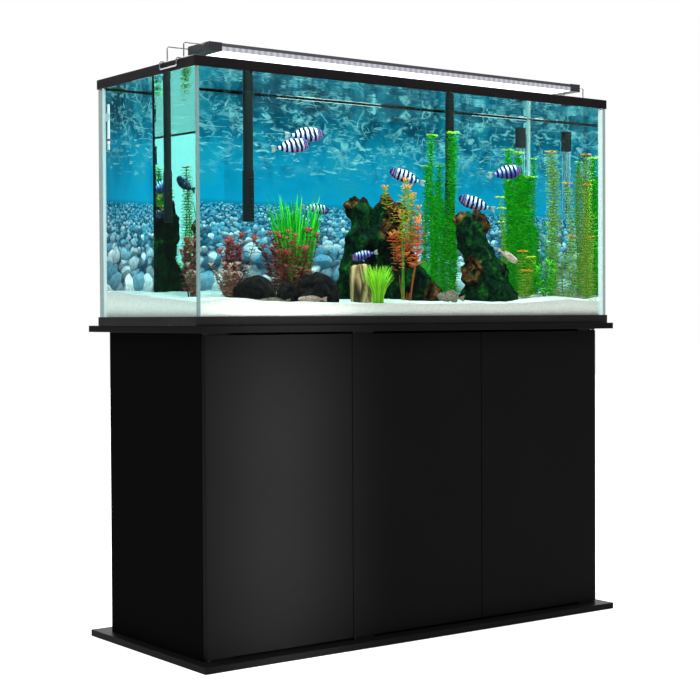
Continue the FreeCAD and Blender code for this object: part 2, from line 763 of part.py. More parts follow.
CASE_FRONT = "( tank_depth / 2 + filter_gap )"
CASE_HIGH = f"( {TANK_TOP} + filter_rise )"
CASE_LOW = f"( {CASE_HIGH} - filter_height )"
CASE_MIDDLE = f"( {CASE_FRONT} + filter_depth / 2 )"
strainers, motors, cartridges = [], [], []
for side, way in (("left", -1), ("right", 1)):
    middle = f"( {way} * filter_offset )"
    inside_left = f"{middle} - filter_width / 2 + filter_wall"
    outer = block(
        f"{side}_case_outer",
        (f"{middle} - filter_width / 2", CASE_FRONT, CASE_LOW),
        ("filter_width", "filter_depth", "filter_height"),
    )
    inner = block(
        f"{side}_case_inner",
        (inside_left, f"{CASE_FRONT} + filter_wall", f"{CASE_LOW} + filter_wall"),
        (
            "filter_width - 2 * filter_wall",
            "filter_depth - 2 * filter_wall",
            "filter_height - filter_wall",
        ),
    )
    # the front wall stops just above the tank's frame, where the water falls back
    weir = block(
        f"{side}_case_weir",
        (inside_left, CASE_FRONT, f"{TANK_TOP} + spout_lift + spout_thick"),
        ("filter_width - 2 * filter_wall", "filter_wall", "filter_rise"),
    )
    spout = block(
        f"{side}_case_spout",
        (inside_left, "tank_depth / 2 - spout_reach", f"{TANK_TOP} + spout_lift"),
        ("filter_width - 2 * filter_wall", "spout_reach + filter_gap", "spout_thick"),
    )
    hook = block(
        f"{side}_case_hook",
        (inside_left, "tank_depth / 2 - spout_reach", f"{TANK_TOP} - grip_drop"),
        ("filter_width - 2 * filter_wall", "filter_wall", "grip_drop + spout_thick"),
    )
    shell = cut(f"{side}_case_shell", outer, inner, weir)
    whole = joined(f"{side}_case_whole", [shell, spout, hook])
    # a notch lets the intake tube pass under the lid
    notch = block(
        f"{side}_notch",
        (
            f"{middle} - intake_radius - notch_room",
            "tank_depth / 2 - spout_reach",
            f"{TANK_TOP} - grip_drop",
        ),
        (
            "2 * ( intake_radius + notch_room )",
            "spout_reach + filter_gap + filter_wall + notch_reach",
            "filter_rise + grip_drop",
        ),
    )
    finished(cut(f"{side}_case", whole, notch), f"{side}_filter_case")

    lid_plate = block(
        f"{side}_lid_plate",
        (f"{middle} - filter_width / 2", "tank_depth / 2 - spout_reach", CASE_HIGH),
        ("filter_width", "spout_reach + filter_gap + filter_depth", "lid_thick"),
    )
    lip = block(
        f"{side}_lid_lip",
        (
            f"{inside_left} + lid_fit",
            f"{CASE_FRONT} + filter_wall + lid_fit",
            f"{CASE_HIGH} - lid_lip",
        ),
        (
            "filter_width - 2 * ( filter_wall + lid_fit )",
            "filter_depth - 2 * ( filter_wall + lid_fit )",
            "lid_lip",
        ),
    )
    lip_hollow = block(
        f"{side}_lid_lip_hollow",
        (
            f"{inside_left} + filter_wall + lid_fit",
            f"{CASE_FRONT} + 2 * filter_wall + lid_fit",
            f"{CASE_HIGH} - lid_lip",
        ),
        (
            "filter_width - 2 * ( 2 * filter_wall + lid_fit )",
            "filter_depth - 2 * ( 2 * filter_wall + lid_fit )",
            "lid_lip",
        ),
    )
    ring = cut(f"{side}_lid_ring", lip, lip_hollow)
    notched_ring = cut(f"{side}_lid_notched", ring, notch)
    finished(joined(f"{side}_lid_whole", [lid_plate, notched_ring]), f"{side}_filter_lid")

    x = worked_out(middle)
    far = worked_out(CASE_MIDDLE)
    near = worked_out("intake_line")
    top = worked_out(f"{TANK_TOP} + intake_lift + intake_radius")
    well = worked_out(f"{CASE_LOW} + filter_wall + impeller_height + intake_end")
    corners = [
        Vector(x, near, size("intake_foot")),
        Vector(x, near, top),
        Vector(x, far, top),
        Vector(x, far, well),
    ]
    path = bent_path(corners, size("intake_bend"))
    tube = swept(path, size("intake_radius")).cut(swept(path, size("intake_bore")))
    finished(shape_part(f"{side}_filter_intake", tube), f"{side}_filter_intake")

    length = f"{side}_strainer_length"
    strainer_low = f"( intake_foot - {length} )"
    body = rod(f"{side}_strainer_body", "strainer_radius", length, (middle, "intake_line", strainer_low))
    hollow_core = rod(
        f"{side}_strainer_core",
        "strainer_radius - strainer_wall",
        f"{length} - strainer_wall",
        (middle, "intake_line", f"{strainer_low} + strainer_wall"),
    )
    slots = []
    for number in range(int(worked_out(f"{length} / slot_pitch")) - 2):
        slots.append(
            block(
                f"{side}_slot{number}",
                (
                    f"{middle} - slot_width / 2",
                    "intake_line - strainer_radius",
                    f"{strainer_low} + slot_start + {number} * slot_pitch",
                ),
                ("slot_width", "strainer_radius", "strainer_slot"),
            )
        )
    slot_group = group(f"{side}_slots", slots)
    strainers.append(cut(f"{side}_strainer", body, hollow_core, slot_group))

    motor_foot = (middle, CASE_MIDDLE, f"{CASE_LOW} - motor_height")
    motors.append(rod(f"{side}_motor", "motor_radius", "motor_height", motor_foot))
    finished(
        rod(
            f"{side}_filter_impeller",
            "impeller_radius",
            "impeller_height",
            (middle, CASE_MIDDLE, f"{CASE_LOW} + filter_wall + impeller_lift"),
        ),
        f"{side}_filter_impeller",
    )
    cartridges.append(
        block(
            f"{side}_cartridge",
            (
                f"{inside_left} + lid_fit",
                f"{CASE_FRONT} + filter_wall + cartridge_setback",
                f"{CASE_LOW} + filter_wall + lid_fit",
            ),
            ("filter_width - 2 * filter_wall - 2 * lid_fit", "cartridge_thick", "cartridge_height"),
        )
    )
finished(group("filter_strainers", strainers), "filter_strainers")
finished(group("filter_motors", motors), "filter_motors")
finished(group("filter_cartridges", cartridges), "filter_cartridges")

# Heater and thermometer --------------------------------------------------------------------------

heater_foot = ("heater_right", "heater_back", "heater_foot")
heater_neck = ("heater_right", "heater_back", "heater_foot + heater_length")
thermometer_foot = (f"0 - {INNER_HALF} + thermometer_inset", "thermometer_back", "thermometer_foot")
finished(rod("heater_tube", "heater_radius", "heater_length", heater_foot), "heater_tube")
finished(rod("heater_cap", "heater_cap_radius", "heater_cap_length", heater_neck), "heater_cap")
finished(
    rod("thermometer", "thermometer_radius", "thermometer_length", thermometer_foot), "thermometer"
)

# What lies in the tank ---------------------------------------------------------------------------


def pile(name, stones):
    """Separate stones under one name, each an ellipsoid about its centre, cut flat below."""
    solids = []
    for centre, radii in stones:
        ball = Part.makeSphere(1.0)
        matrix = FreeCAD.Matrix()
        matrix.scale(*radii)
        ball = ball.transformGeometry(matrix)
        ball.translate(Vector(*centre))
        solids.append(ball)
    width, depth = size("tank_width"), size("tank_depth")
    under = worked_out(f"{FLOOR} + stone_sink")
    ground = Part.makeBox(width, depth, under, Vector(-width / 2, -depth / 2, 0))
    return shape_part(name, Part.makeCompound([solid.cut(ground) for solid in solids]))


STUMP_SIDES = 8


def stump(name, rings):
    """A stump lofted through closed rings, each given as centre, half width and half depth."""
    wires = []
    for (cx, cy, cz), half_width, half_depth in rings:
        points = []
        for k in range(STUMP_SIDES):
            angle = 2 * math.pi * k / STUMP_SIDES
            points.append(Vector(cx + half_width * math.cos(angle), cy + half_depth * math.sin(angle), cz))
        wires.append(Part.makePolygon(points + points[:1]))
    return shape_part(name, Part.makeLoft(wires, True, True))


rocks = finished(
    pile(
        "rocks",
        [
            ((-418, -120, 800), (58, 46, 50)),
            ((-330, -112, 796), (26, 30, 42)),
            ((-252, -125, 800), (60, 50, 62)),
        ],
    ),
    "rocks",
)
driftwood_left = finished(
    stump(
        "driftwood_left",
        [
            ((0, -20, 762), 128, 74),
            ((-20, -18, 850), 88, 58),
            ((-30, -16, 940), 62, 46),
            ((-10, -14, 1046), 100, 52),
        ],
    ),
    "driftwood_left",
)
driftwood_right = finished(
    stump(
        "driftwood_right",
        [
            ((304, -70, 762), 108, 66),
            ((292, -64, 840), 84, 54),
            ((262, -58, 920), 56, 44),
            ((242, -54, 1014), 70, 44),
        ],
    ),
    "driftwood_right",
)
driftwood_log = finished(
    stump(
        "driftwood_log",
        [((-122, -122, 762), 34, 26), ((-126, -120, 820), 32, 25), ((-132, -118, 880), 28, 24)],
    ),
    "driftwood_log",
)

# each clump: its name, x, y, radius and the height of its top
green_clumps = [
    ("tall_grass", -230, 45, 48, 1060),
    ("short_tuft", -102, -178, 20, 880),
    ("left_column", 187, 70, 14, 1150),
    ("middle_column", 216, 84, 12, 1176),
    ("near_column", 248, 60, 15, 1208),
    ("dense_left", 462, 50, 26, 1176),
    ("dense_right", 515, 40, 20, 1110),
    ("leafy", 497, -78, 18, 972),
    ("pale_tall", 545, -30, 20, 1180),
    ("pale_short", 572, -100, 12, 1090),
]
red_clumps = [
    ("red_left", -446, -50, 24, 942),
    ("red_middle", -286, -30, 40, 957),
    ("orange", 30, -112, 26, 1080),
]
clumps = {}
for label, rows in (("green_plants", green_clumps), ("red_plants", red_clumps)):
    stems = []
    for name, x, y, radius, top in rows:
        stems.append(rod(name, radius, f"{top} - plant_foot", (x, y, "plant_foot")))
    clumps[label] = finished(group(label, stems), label)

# The sand slopes up to the back pane, and lies round everything that stands in it.
sand_body = doc.addObject("PartDesign::Body", "sand_blank")
profile = sand_body.newObject("Sketcher::SketchObject", "sand_profile")
profile.AttachmentSupport = (origin_plane(sand_body, "YZ_Plane"), [""])
profile.MapMode = "FlatFace"
deep = worked_out(INNER_HALF_DEEP)
low = worked_out(FLOOR)
outline = [
    Vector(-deep, low),
    Vector(deep, low),
    Vector(deep, low + size("sand_rear")),
    Vector(-deep, low + size("sand_front")),
]
for i in range(4):
    profile.addGeometry(Part.LineSegment(outline[i], outline[(i + 1) % 4]), False)
for i in range(4):
    profile.addConstraint(Sketcher.Constraint("Coincident", i, 2, (i + 1) % 4, 1))
profile.addConstraint(Sketcher.Constraint("Horizontal", 0))
profile.addConstraint(Sketcher.Constraint("Vertical", 1))
profile.addConstraint(Sketcher.Constraint("Vertical", 3))
bound = [
    (Sketcher.Constraint("DistanceX", -1, 1, 0, 2, deep), INNER_HALF_DEEP),
    (Sketcher.Constraint("DistanceX", 0, 1, -1, 1, deep), INNER_HALF_DEEP),
    (Sketcher.Constraint("DistanceY", -1, 1, 0, 1, low), FLOOR),
    (Sketcher.Constraint("DistanceY", 1, 1, 1, 2, size("sand_rear")), "sand_rear"),
    (Sketcher.Constraint("DistanceY", 3, 2, 3, 1, size("sand_front")), "sand_front"),
]
for constraint, formula in bound:
    profile.setExpression(f"Constraints[{profile.addConstraint(constraint)}]", spelled(formula))
sand_pad = sand_body.newObject("PartDesign::Pad", "sand_pad")
sand_pad.Profile = profile
sand_pad.Midplane = True
sand_pad.setExpression("Length", spelled(f"2 * {INNER_HALF}"))
finished(
    cut(
        "sand_bed",
        sand_body,
        silicone,
        rocks,
        driftwood_left,
        driftwood_right,
        driftwood_log,
        clumps["green_plants"],
        clumps["red_plants"],
    ),
    "sand_bed",
)

# Check and write ---------------------------------------------------------------------------------

doc.recompute()
for thing in doc.Objects:
    if "Invalid" in thing.State or "Error" in thing.State:
        raise SystemExit(f"{thing.Name} failed: {thing.State}")
for thing in made:
    if thing.Shape.isNull() or not thing.Shape.isValid():
        raise SystemExit(f"{thing.Label} has no valid shape")
    if not thing.Shape.Solids:
        raise SystemExit(f"{thing.Label} holds no solid")
for thing in made:
    thing.Shape.exportStep(f"parts/{thing.Label}.step")
print(len(made), "sub-parts written")
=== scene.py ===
import bmesh
import bpy
import math
import random
from mathutils import Matrix, Quaternion, Vector, noise


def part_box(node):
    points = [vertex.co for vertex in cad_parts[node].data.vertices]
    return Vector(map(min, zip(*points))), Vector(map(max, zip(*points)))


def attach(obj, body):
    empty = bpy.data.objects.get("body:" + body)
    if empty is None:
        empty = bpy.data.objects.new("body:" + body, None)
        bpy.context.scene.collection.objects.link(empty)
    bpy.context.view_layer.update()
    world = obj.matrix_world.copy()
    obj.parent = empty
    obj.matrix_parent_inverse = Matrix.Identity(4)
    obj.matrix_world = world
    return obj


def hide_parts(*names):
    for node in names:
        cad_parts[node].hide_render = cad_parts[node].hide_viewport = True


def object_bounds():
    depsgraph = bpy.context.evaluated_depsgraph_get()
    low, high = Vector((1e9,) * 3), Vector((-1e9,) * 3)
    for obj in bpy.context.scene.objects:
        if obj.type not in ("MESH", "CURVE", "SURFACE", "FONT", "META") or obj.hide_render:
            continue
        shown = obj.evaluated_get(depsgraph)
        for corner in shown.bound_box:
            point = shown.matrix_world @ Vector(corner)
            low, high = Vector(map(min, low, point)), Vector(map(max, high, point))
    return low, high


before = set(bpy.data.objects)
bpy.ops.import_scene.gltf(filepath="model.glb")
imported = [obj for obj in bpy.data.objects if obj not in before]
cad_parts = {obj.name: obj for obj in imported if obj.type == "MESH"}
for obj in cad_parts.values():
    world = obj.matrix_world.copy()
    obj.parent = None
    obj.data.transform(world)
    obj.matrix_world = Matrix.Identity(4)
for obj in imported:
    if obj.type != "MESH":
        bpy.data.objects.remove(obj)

CAD_LOW, CAD_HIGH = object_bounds()
MM = 0.001
BODY = "aquarium"


# Node helpers ------------------------------------------------------------------------------------


class Paint:
    """A material's node tree, with short calls for the nodes that the finishes share."""

    def __init__(self, name):
        self.material = bpy.data.materials.new(name)
        self.material.use_nodes = True
        self.tree = self.material.node_tree
        self.shader = self.tree.nodes["Principled BSDF"]
        self.output = self.tree.nodes["Material Output"]
        self.place = self.add("ShaderNodeTexCoord").outputs["Object"]

    def add(self, kind, **settings):
        node = self.tree.nodes.new(kind)
        for key, value in settings.items():
            setattr(node, key, value)
        return node

    def join(self, source, target):
        self.tree.links.new(source, target)

    def feed(self, socket, value):
        """Link a socket, or set a plain value."""
        if isinstance(value, bpy.types.NodeSocket):
            self.join(value, socket)
        else:
            socket.default_value = value

    def set(self, **values):
        """Values for the Principled shader, by socket name with underscores."""
        for key, value in values.items():
            self.feed(self.shader.inputs[key.replace("_", " ")], value)
        return self

    def moved(self, scale=(1, 1, 1), shift=(0, 0, 0), turn=(0, 0, 0), source=None):
        node = self.add("ShaderNodeMapping")
        self.join(source or self.place, node.inputs["Vector"])
        node.inputs["Scale"].default_value = scale
        node.inputs["Location"].default_value = shift
        node.inputs["Rotation"].default_value = turn
        return node.outputs["Vector"]

    def noise(self, scale, detail=3.0, roughness=0.5, distortion=0.0, source=None):
        node = self.add("ShaderNodeTexNoise")
        self.join(source or self.place, node.inputs["Vector"])
        node.inputs["Scale"].default_value = scale
        node.inputs["Detail"].default_value = detail
        node.inputs["Roughness"].default_value = roughness
        node.inputs["Distortion"].default_value = distortion
        return node.outputs["Fac"]

    def cells(self, scale, output="Distance", feature="F1", source=None, randomness=1.0, flat=False):
        node = self.add("ShaderNodeTexVoronoi", feature=feature)
        if flat:
            node.voronoi_dimensions = "2D"
        self.join(source or self.place, node.inputs["Vector"])
        node.inputs["Scale"].default_value = scale
        node.inputs["Randomness"].default_value = randomness
        return node.outputs[output]

    def ramp(self, source, *stops, mode="LINEAR"):
        """A colour ramp: stops are (place, colour)."""
        node = self.add("ShaderNodeValToRGB")
        node.color_ramp.interpolation = mode
        points = node.color_ramp.elements
        while len(points) < len(stops):
            points.new(0.5)
        for point, (where, colour) in zip(points, stops):
            point.position = where
            point.color = (*colour, 1.0) if len(colour) == 3 else colour
        self.join(source, node.inputs["Fac"])
        return node.outputs["Color"]

    def grey(self, source, low, high, from_low=0.0, from_high=1.0):
        node = self.add("ShaderNodeMapRange", clamp=True)
        self.join(source, node.inputs["Value"])
        for key, value in (
            ("From Min", from_low),
            ("From Max", from_high),
            ("To Min", low),
            ("To Max", high),
        ):
            node.inputs[key].default_value = value
        return node.outputs["Result"]

    def sums(self, operation, *values):
        node = self.add("ShaderNodeMath", operation=operation)
        for socket, value in zip(node.inputs, values):
            self.feed(socket, value)
        return node.outputs["Value"]

    def blend(self, share, first, second, mode="MIX"):
        node = self.add("ShaderNodeMix", data_type="RGBA", blend_type=mode)
        self.feed(node.inputs["Factor"], share)
        for socket, value in ((node.inputs[6], first), (node.inputs[7], second)):
            self.feed(socket, value if isinstance(value, bpy.types.NodeSocket) else (*value, 1.0))
        return node.outputs[2]

    def axes(self, source=None):
        node = self.add("ShaderNodeSeparateXYZ")
        self.join(source or self.place, node.inputs["Vector"])
        return node.outputs

    def vector(self, x, y, z=0.0):
        node = self.add("ShaderNodeCombineXYZ")
        for socket, value in zip(node.inputs, (x, y, z)):
            self.feed(socket, value)
        return node.outputs["Vector"]

    def bump(self, height, strength=0.3, depth=0.001):
        node = self.add("ShaderNodeBump")
        self.join(height, node.inputs["Height"])
        node.inputs["Strength"].default_value = strength
        node.inputs["Distance"].default_value = depth
        self.join(node.outputs["Normal"], self.shader.inputs["Normal"])
        return self


# Mesh helpers ------------------------------------------------------------------------------------


def give(piece, material, body=BODY, smooth=True):
    """Finish a piece: material, slot, shading and the body that it rides on."""
    piece.data.materials.clear()
    piece.data.materials.append(material)
    if smooth:
        for face in piece.data.polygons:
            face.use_smooth = True
    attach(piece, body)
    return piece


def mesh_piece(name, points, faces):
    mesh = bpy.data.meshes.new(name)
    mesh.from_pydata([tuple(p) for p in points], [], faces)
    mesh.validate()
    mesh.update()
    piece = bpy.data.objects.new(name, mesh)
    bpy.context.scene.collection.objects.link(piece)
    return piece


class Builder:
    """Collects points and faces for one mesh of many small parts."""

    def __init__(self):
        self.points = []
        self.faces = []
        self.values = []

    def add(self, points, faces, value=0.0):
        start = len(self.points)
        self.points += points
        self.values += [value] * len(points)
        self.faces += [tuple(start + i for i in face) for face in faces]

    def piece(self, name):
        made = mesh_piece(name, self.points, self.faces)
        tint = made.data.attributes.new("tint", "FLOAT", "POINT")
        tint.data.foreach_set("value", self.values)
        return made

    def tube(self, line, radii, sides=6, value=0.0):
        """A round stem along a line of points, closed at both ends."""
        points, faces = [], []
        for i, centre in enumerate(line):
            ahead = line[min(i + 1, len(line) - 1)] - line[max(i - 1, 0)]
            turn = ahead.to_track_quat("Z", "Y")
            for k in range(sides):
                angle = 2 * math.pi * k / sides
                rim = Vector((math.cos(angle), math.sin(angle), 0)) * radii[i]
                points.append(centre + turn @ rim)
        for i in range(len(line) - 1):
            for k in range(sides):
                a, b = i * sides + k, i * sides + (k + 1) % sides
                faces.append((a, b, b + sides, a + sides))
        last = (len(line) - 1) * sides
        faces.append(tuple(reversed(range(sides))))
        faces.append(tuple(last + k for k in range(sides)))
        self.add(points, faces, value)

    def leaf(self, foot, along, up, length, width, thick, value=0.0, droop=0.0, cup=0.0, steps=3):
        """A thin closed leaf from foot towards along. up is the side that faces up."""
        along = along.normalized()
        side = along.cross(up).normalized()
        face = side.cross(along).normalized()
        points, faces = [], []
        for i in range(steps + 1):
            t = i / steps
            half = width / 2 * (math.sin(math.pi * (0.12 + 0.86 * t)) ** 0.8)
            centre = foot + along * (length * t) - face * (droop * length * t * t)
            rise = face * (cup * half)
            points += [
                centre - side * half + rise,
                centre + face * (thick / 2),
                centre + side * half + rise,
                centre - face * (thick / 2),
            ]
        for i in range(steps):
            a, b = 4 * i, 4 * (i + 1)
            for k in range(4):
                faces.append((a + k, b + k, b + (k + 1) % 4, a + (k + 1) % 4))
        faces.append((0, 1, 2, 3))
        faces.append(tuple(4 * steps + k for k in (3, 2, 1, 0)))
        self.add(points, faces, value)


def tinted(paint):
    """The tint value that Builder stores on each point."""
    return paint.add("ShaderNodeAttribute", attribute_name="tint").outputs["Fac"]


# Camera, studio and floor ------------------------------------------------------------------------

IMAGE = 700
FOCAL = 1564
EYE = Vector((-2.326, -3.061, 0.755))
YAW, PITCH, ROLL = 36.66, -1.23, -0.27

camera = bpy.data.objects.new("camera", bpy.data.cameras.new("camera"))
bpy.context.scene.collection.objects.link(camera)
camera.data.sensor_width = 36.0
camera.data.lens = 36.0 * FOCAL / IMAGE
camera.data.clip_end = 50
camera.location = EYE
ahead = Vector(
    (
        math.sin(math.radians(YAW)) * math.cos(math.radians(PITCH)),
        math.cos(math.radians(YAW)) * math.cos(math.radians(PITCH)),
        math.sin(math.radians(PITCH)),
    )
)
camera.rotation_mode = "QUATERNION"
camera.rotation_quaternion = Quaternion(ahead, math.radians(-ROLL)) @ ahead.to_track_quat("-Z", "Y")
bpy.context.scene.camera = camera

scene = bpy.context.scene
scene.view_settings.view_transform = "Standard"
world = bpy.data.worlds.new("studio")
scene.world = world
world.use_nodes = True
sky = world.node_tree
backdrop = sky.nodes["Background"]
backdrop.inputs["Color"].default_value = (1, 1, 1, 1)
backdrop.inputs["Strength"].default_value = 1.0


def sky_node(kind, *sources, **settings):
    """A node of the world's tree, with its inputs linked or set in order."""
    node = sky.nodes.new(kind)
    for key, value in settings.items():
        setattr(node, key, value)
    for socket, source in zip(node.inputs, sources):
        if isinstance(source, bpy.types.NodeSocket):
            sky.links.new(source, socket)
        else:
            socket.default_value = source
    return node.outputs[0]


# The room is bright overhead and at the back right, and dim level with the tank elsewhere.
way = sky.nodes.new("ShaderNodeTexCoord").outputs["Generated"]
up = sky.nodes.new("ShaderNodeSeparateXYZ")
sky.links.new(way, up.inputs[0])
overhead = sky_node("ShaderNodeMapRange", up.outputs["Z"], 0.12, 0.65, 0.0, 1.0)
towards = sky.nodes.new("ShaderNodeVectorMath")
towards.operation = "DOT_PRODUCT"
sky.links.new(way, towards.inputs[0])
towards.inputs[1].default_value = (0.6, 0.8, 0.0)
window = sky_node("ShaderNodeMapRange", towards.outputs["Value"], 0.72, 0.92, 0.0, 1.0)
DIM, OVERHEAD, WINDOW = 0.08, 1.25, 2.5
strength = sky_node("ShaderNodeMath", overhead, OVERHEAD, operation="MULTIPLY")
side = sky_node("ShaderNodeMath", window, WINDOW, operation="MULTIPLY")
strength = sky_node("ShaderNodeMath", strength, side, operation="ADD")
strength = sky_node("ShaderNodeMath", strength, DIM, operation="ADD")
room = sky.nodes.new("ShaderNodeBackground")
room.inputs["Color"].default_value = (0.97, 0.985, 1.0, 1)
sky.links.new(strength, room.inputs["Strength"])
rays = sky.nodes.new("ShaderNodeLightPath")
choose = sky.nodes.new("ShaderNodeMixShader")
sky.links.new(rays.outputs["Is Camera Ray"], choose.inputs["Fac"])
sky.links.new(room.outputs[0], choose.inputs[1])
sky.links.new(backdrop.outputs[0], choose.inputs[2])
sky.links.new(choose.outputs[0], sky.nodes["World Output"].inputs["Surface"])

floor_size = 12.0
floor = mesh_piece(
    "floor",
    [(-floor_size, -floor_size, 0), (floor_size, -floor_size, 0), (floor_size, floor_size, 0), (-floor_size, floor_size, 0)],
    [(0, 1, 2, 3)],
)
floor.location.z = CAD_LOW.z - 0.0005
floor_paint = Paint("pale_floor")
mist = floor_paint.noise(3, 2)
floor_tone = floor_paint.blend(floor_paint.grey(mist, 0, 1), (0.93, 0.93, 0.93), (0.95, 0.95, 0.95))
floor_paint.set(Base_Color=floor_tone, Roughness=0.9, Specular_IOR_Level=0.1)
floor_paint.set(Emission_Color=(1, 1, 1, 1), Emission_Strength=0.42)
floor.data.materials.append(floor_paint.material)


def lamp(name, place, target, width, height, power, colour=(1, 1, 1)):
    light = bpy.data.lights.new(name, "AREA")
    light.shape = "RECTANGLE"
    light.size, light.size_y = width, height
    light.energy = power
    light.color = colour
    thing = bpy.data.objects.new(name, light)
    scene.collection.objects.link(thing)
    thing.location = place
    thing.rotation_mode = "QUATERNION"
    thing.rotation_quaternion = (Vector(target) - Vector(place)).to_track_quat("-Z", "Y")
    thing.visible_camera = False
    thing.visible_transmission = False
    return thing


middle = (CAD_LOW + CAD_HIGH) / 2
lamp("key", (-1.0, -3.4, 3.6), (0, 0, 0.4), 2.6, 2.6, 60)
lamp("fill", (3.6, 0.6, 2.8), (0, 0, 0.4), 2.5, 2.5, 45)
lamp("back", (-0.5, 3.4, 3.0), (0, 0, 0.4), 3.0, 2.0, 60)
# a narrow lamp close to the left door, which fades across the centre door
pool = lamp("door_pool", (-0.40, -0.85, 0.31), (-0.40, 0, 0.31), 0.12, 0.85, 4.0)
pool.visible_glossy = False
pool.data.spread = math.radians(50)

# Sizes read from the frame -----------------------------------------------------------------------

front_low, front_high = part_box("front_pane")
back_low, back_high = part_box("back_pane")
left_low, left_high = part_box("left_pane")
right_low, right_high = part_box("right_pane")
FLOOR_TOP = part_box("bottom_pane")[1].z
INNER_LOW = Vector((left_high.x, front_high.y, FLOOR_TOP))
INNER_HIGH = Vector((right_low.x, back_low.y, front_high.z))
WATER_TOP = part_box("top_frame")[0].z + 3 * MM


# Finishes ----------------------------------------------------------------------------------------

# painted light: how strongly the printed film and the sand glow by their own tone
FILM_GLOW = 1.0
SAND_GLOW = 0.10


def laminate(name, tone, shine):
    paint = Paint(name)
    grain = paint.noise(900, 2)
    cloud = paint.noise(5, 3)
    paint.set(
        Base_Color=paint.blend(paint.grey(cloud, 0.0, 1.0), tone, tuple(c * 1.3 for c in tone)),
        Roughness=paint.grey(cloud, 0.38, 0.46),
        Specular_IOR_Level=shine,
    )
    return paint.bump(grain, 0.12, 0.0004).material


def gloss_plastic(name, tone, rough=0.22):
    paint = Paint(name)
    cloud = paint.noise(14, 3)
    paint.set(
        Base_Color=paint.blend(paint.grey(cloud, 0.0, 1.0), tone, tuple(c * 1.5 for c in tone)),
        Roughness=paint.grey(cloud, rough, rough + 0.12),
        Specular_IOR_Level=0.25,
    )
    return paint.bump(paint.noise(260, 2), 0.06, 0.0004).material


def metal(name, tone, rough=0.3):
    paint = Paint(name)
    brushed = paint.noise(60, 4, source=paint.moved(scale=(1, 12, 12)))
    paint.set(
        Base_Color=paint.blend(paint.grey(brushed, 0.0, 1.0), tone, tuple(c * 0.75 for c in tone)),
        Metallic=1.0,
        Roughness=paint.grey(brushed, rough, rough + 0.15),
    )
    return paint.bump(brushed, 0.05, 0.0003).material


def glass_pane(name, thin_axis, tint, edge_tone, edge_painted_glow, edge_clear):
    """Float glass: clear through its faces, tinted and partly clear at its cut edges, where the edge tone also glows as
    painted light.
    """
    paint = Paint(name)
    streak = paint.noise(24, 2, source=paint.moved(scale=(1, 1, 0.1)))
    tone = paint.blend(paint.grey(streak, 0, 1), edge_tone, tuple(c * 0.8 for c in edge_tone))
    # painted light: the cut edges glow in their own tone
    paint.set(Base_Color=tone, Roughness=0.15, Emission_Color=tone, Emission_Strength=edge_painted_glow)
    smear = paint.noise(3, 2)
    clear = paint.add("ShaderNodeBsdfTransparent")
    clear.inputs["Color"].default_value = (*tint, 1)
    shine = paint.add("ShaderNodeBsdfGlossy")
    paint.feed(shine.inputs["Roughness"], paint.grey(smear, 0.0, 0.02))
    # a thin pane reflects alike from both sides, so the back of a face takes the inverse index
    geometry = paint.add("ShaderNodeNewGeometry")
    fresnel = paint.add("ShaderNodeFresnel")
    index = 1.10
    paint.feed(fresnel.inputs["IOR"], paint.grey(geometry.outputs["Backfacing"], index, 1 / index))
    face = paint.add("ShaderNodeMixShader")
    paint.join(fresnel.outputs["Fac"], face.inputs["Fac"])
    paint.join(clear.outputs[0], face.inputs[1])
    paint.join(shine.outputs[0], face.inputs[2])
    side = paint.sums("ABSOLUTE", paint.axes(geometry.outputs["True Normal"])[thin_axis])
    edge = paint.sums("LESS_THAN", side, 0.5)
    rim = paint.add("ShaderNodeMixShader")
    rim.inputs["Fac"].default_value = 1 - edge_clear
    paint.join(clear.outputs[0], rim.inputs[1])
    paint.join(paint.shader.outputs[0], rim.inputs[2])
    whole = paint.add("ShaderNodeMixShader")
    paint.join(edge, whole.inputs["Fac"])
    paint.join(face.outputs[0], whole.inputs[1])
    paint.join(rim.outputs[0], whole.inputs[2])
    paint.join(whole.outputs[0], paint.output.inputs["Surface"])
    return paint.material


def water_finish():
    """Clear water that takes the red out of light over a long way."""
    paint = Paint("water")
    paint.set(Base_Color=(1, 1, 1, 1), Roughness=0.0, IOR=1.333, Transmission_Weight=1.0)
    depth = paint.add("ShaderNodeVolumeAbsorption")
    depth.inputs["Color"].default_value = (0.0, 0.62, 0.58, 1)
    depth.inputs["Density"].default_value = 1.15
    paint.join(depth.outputs[0], paint.output.inputs["Volume"])
    return paint.material


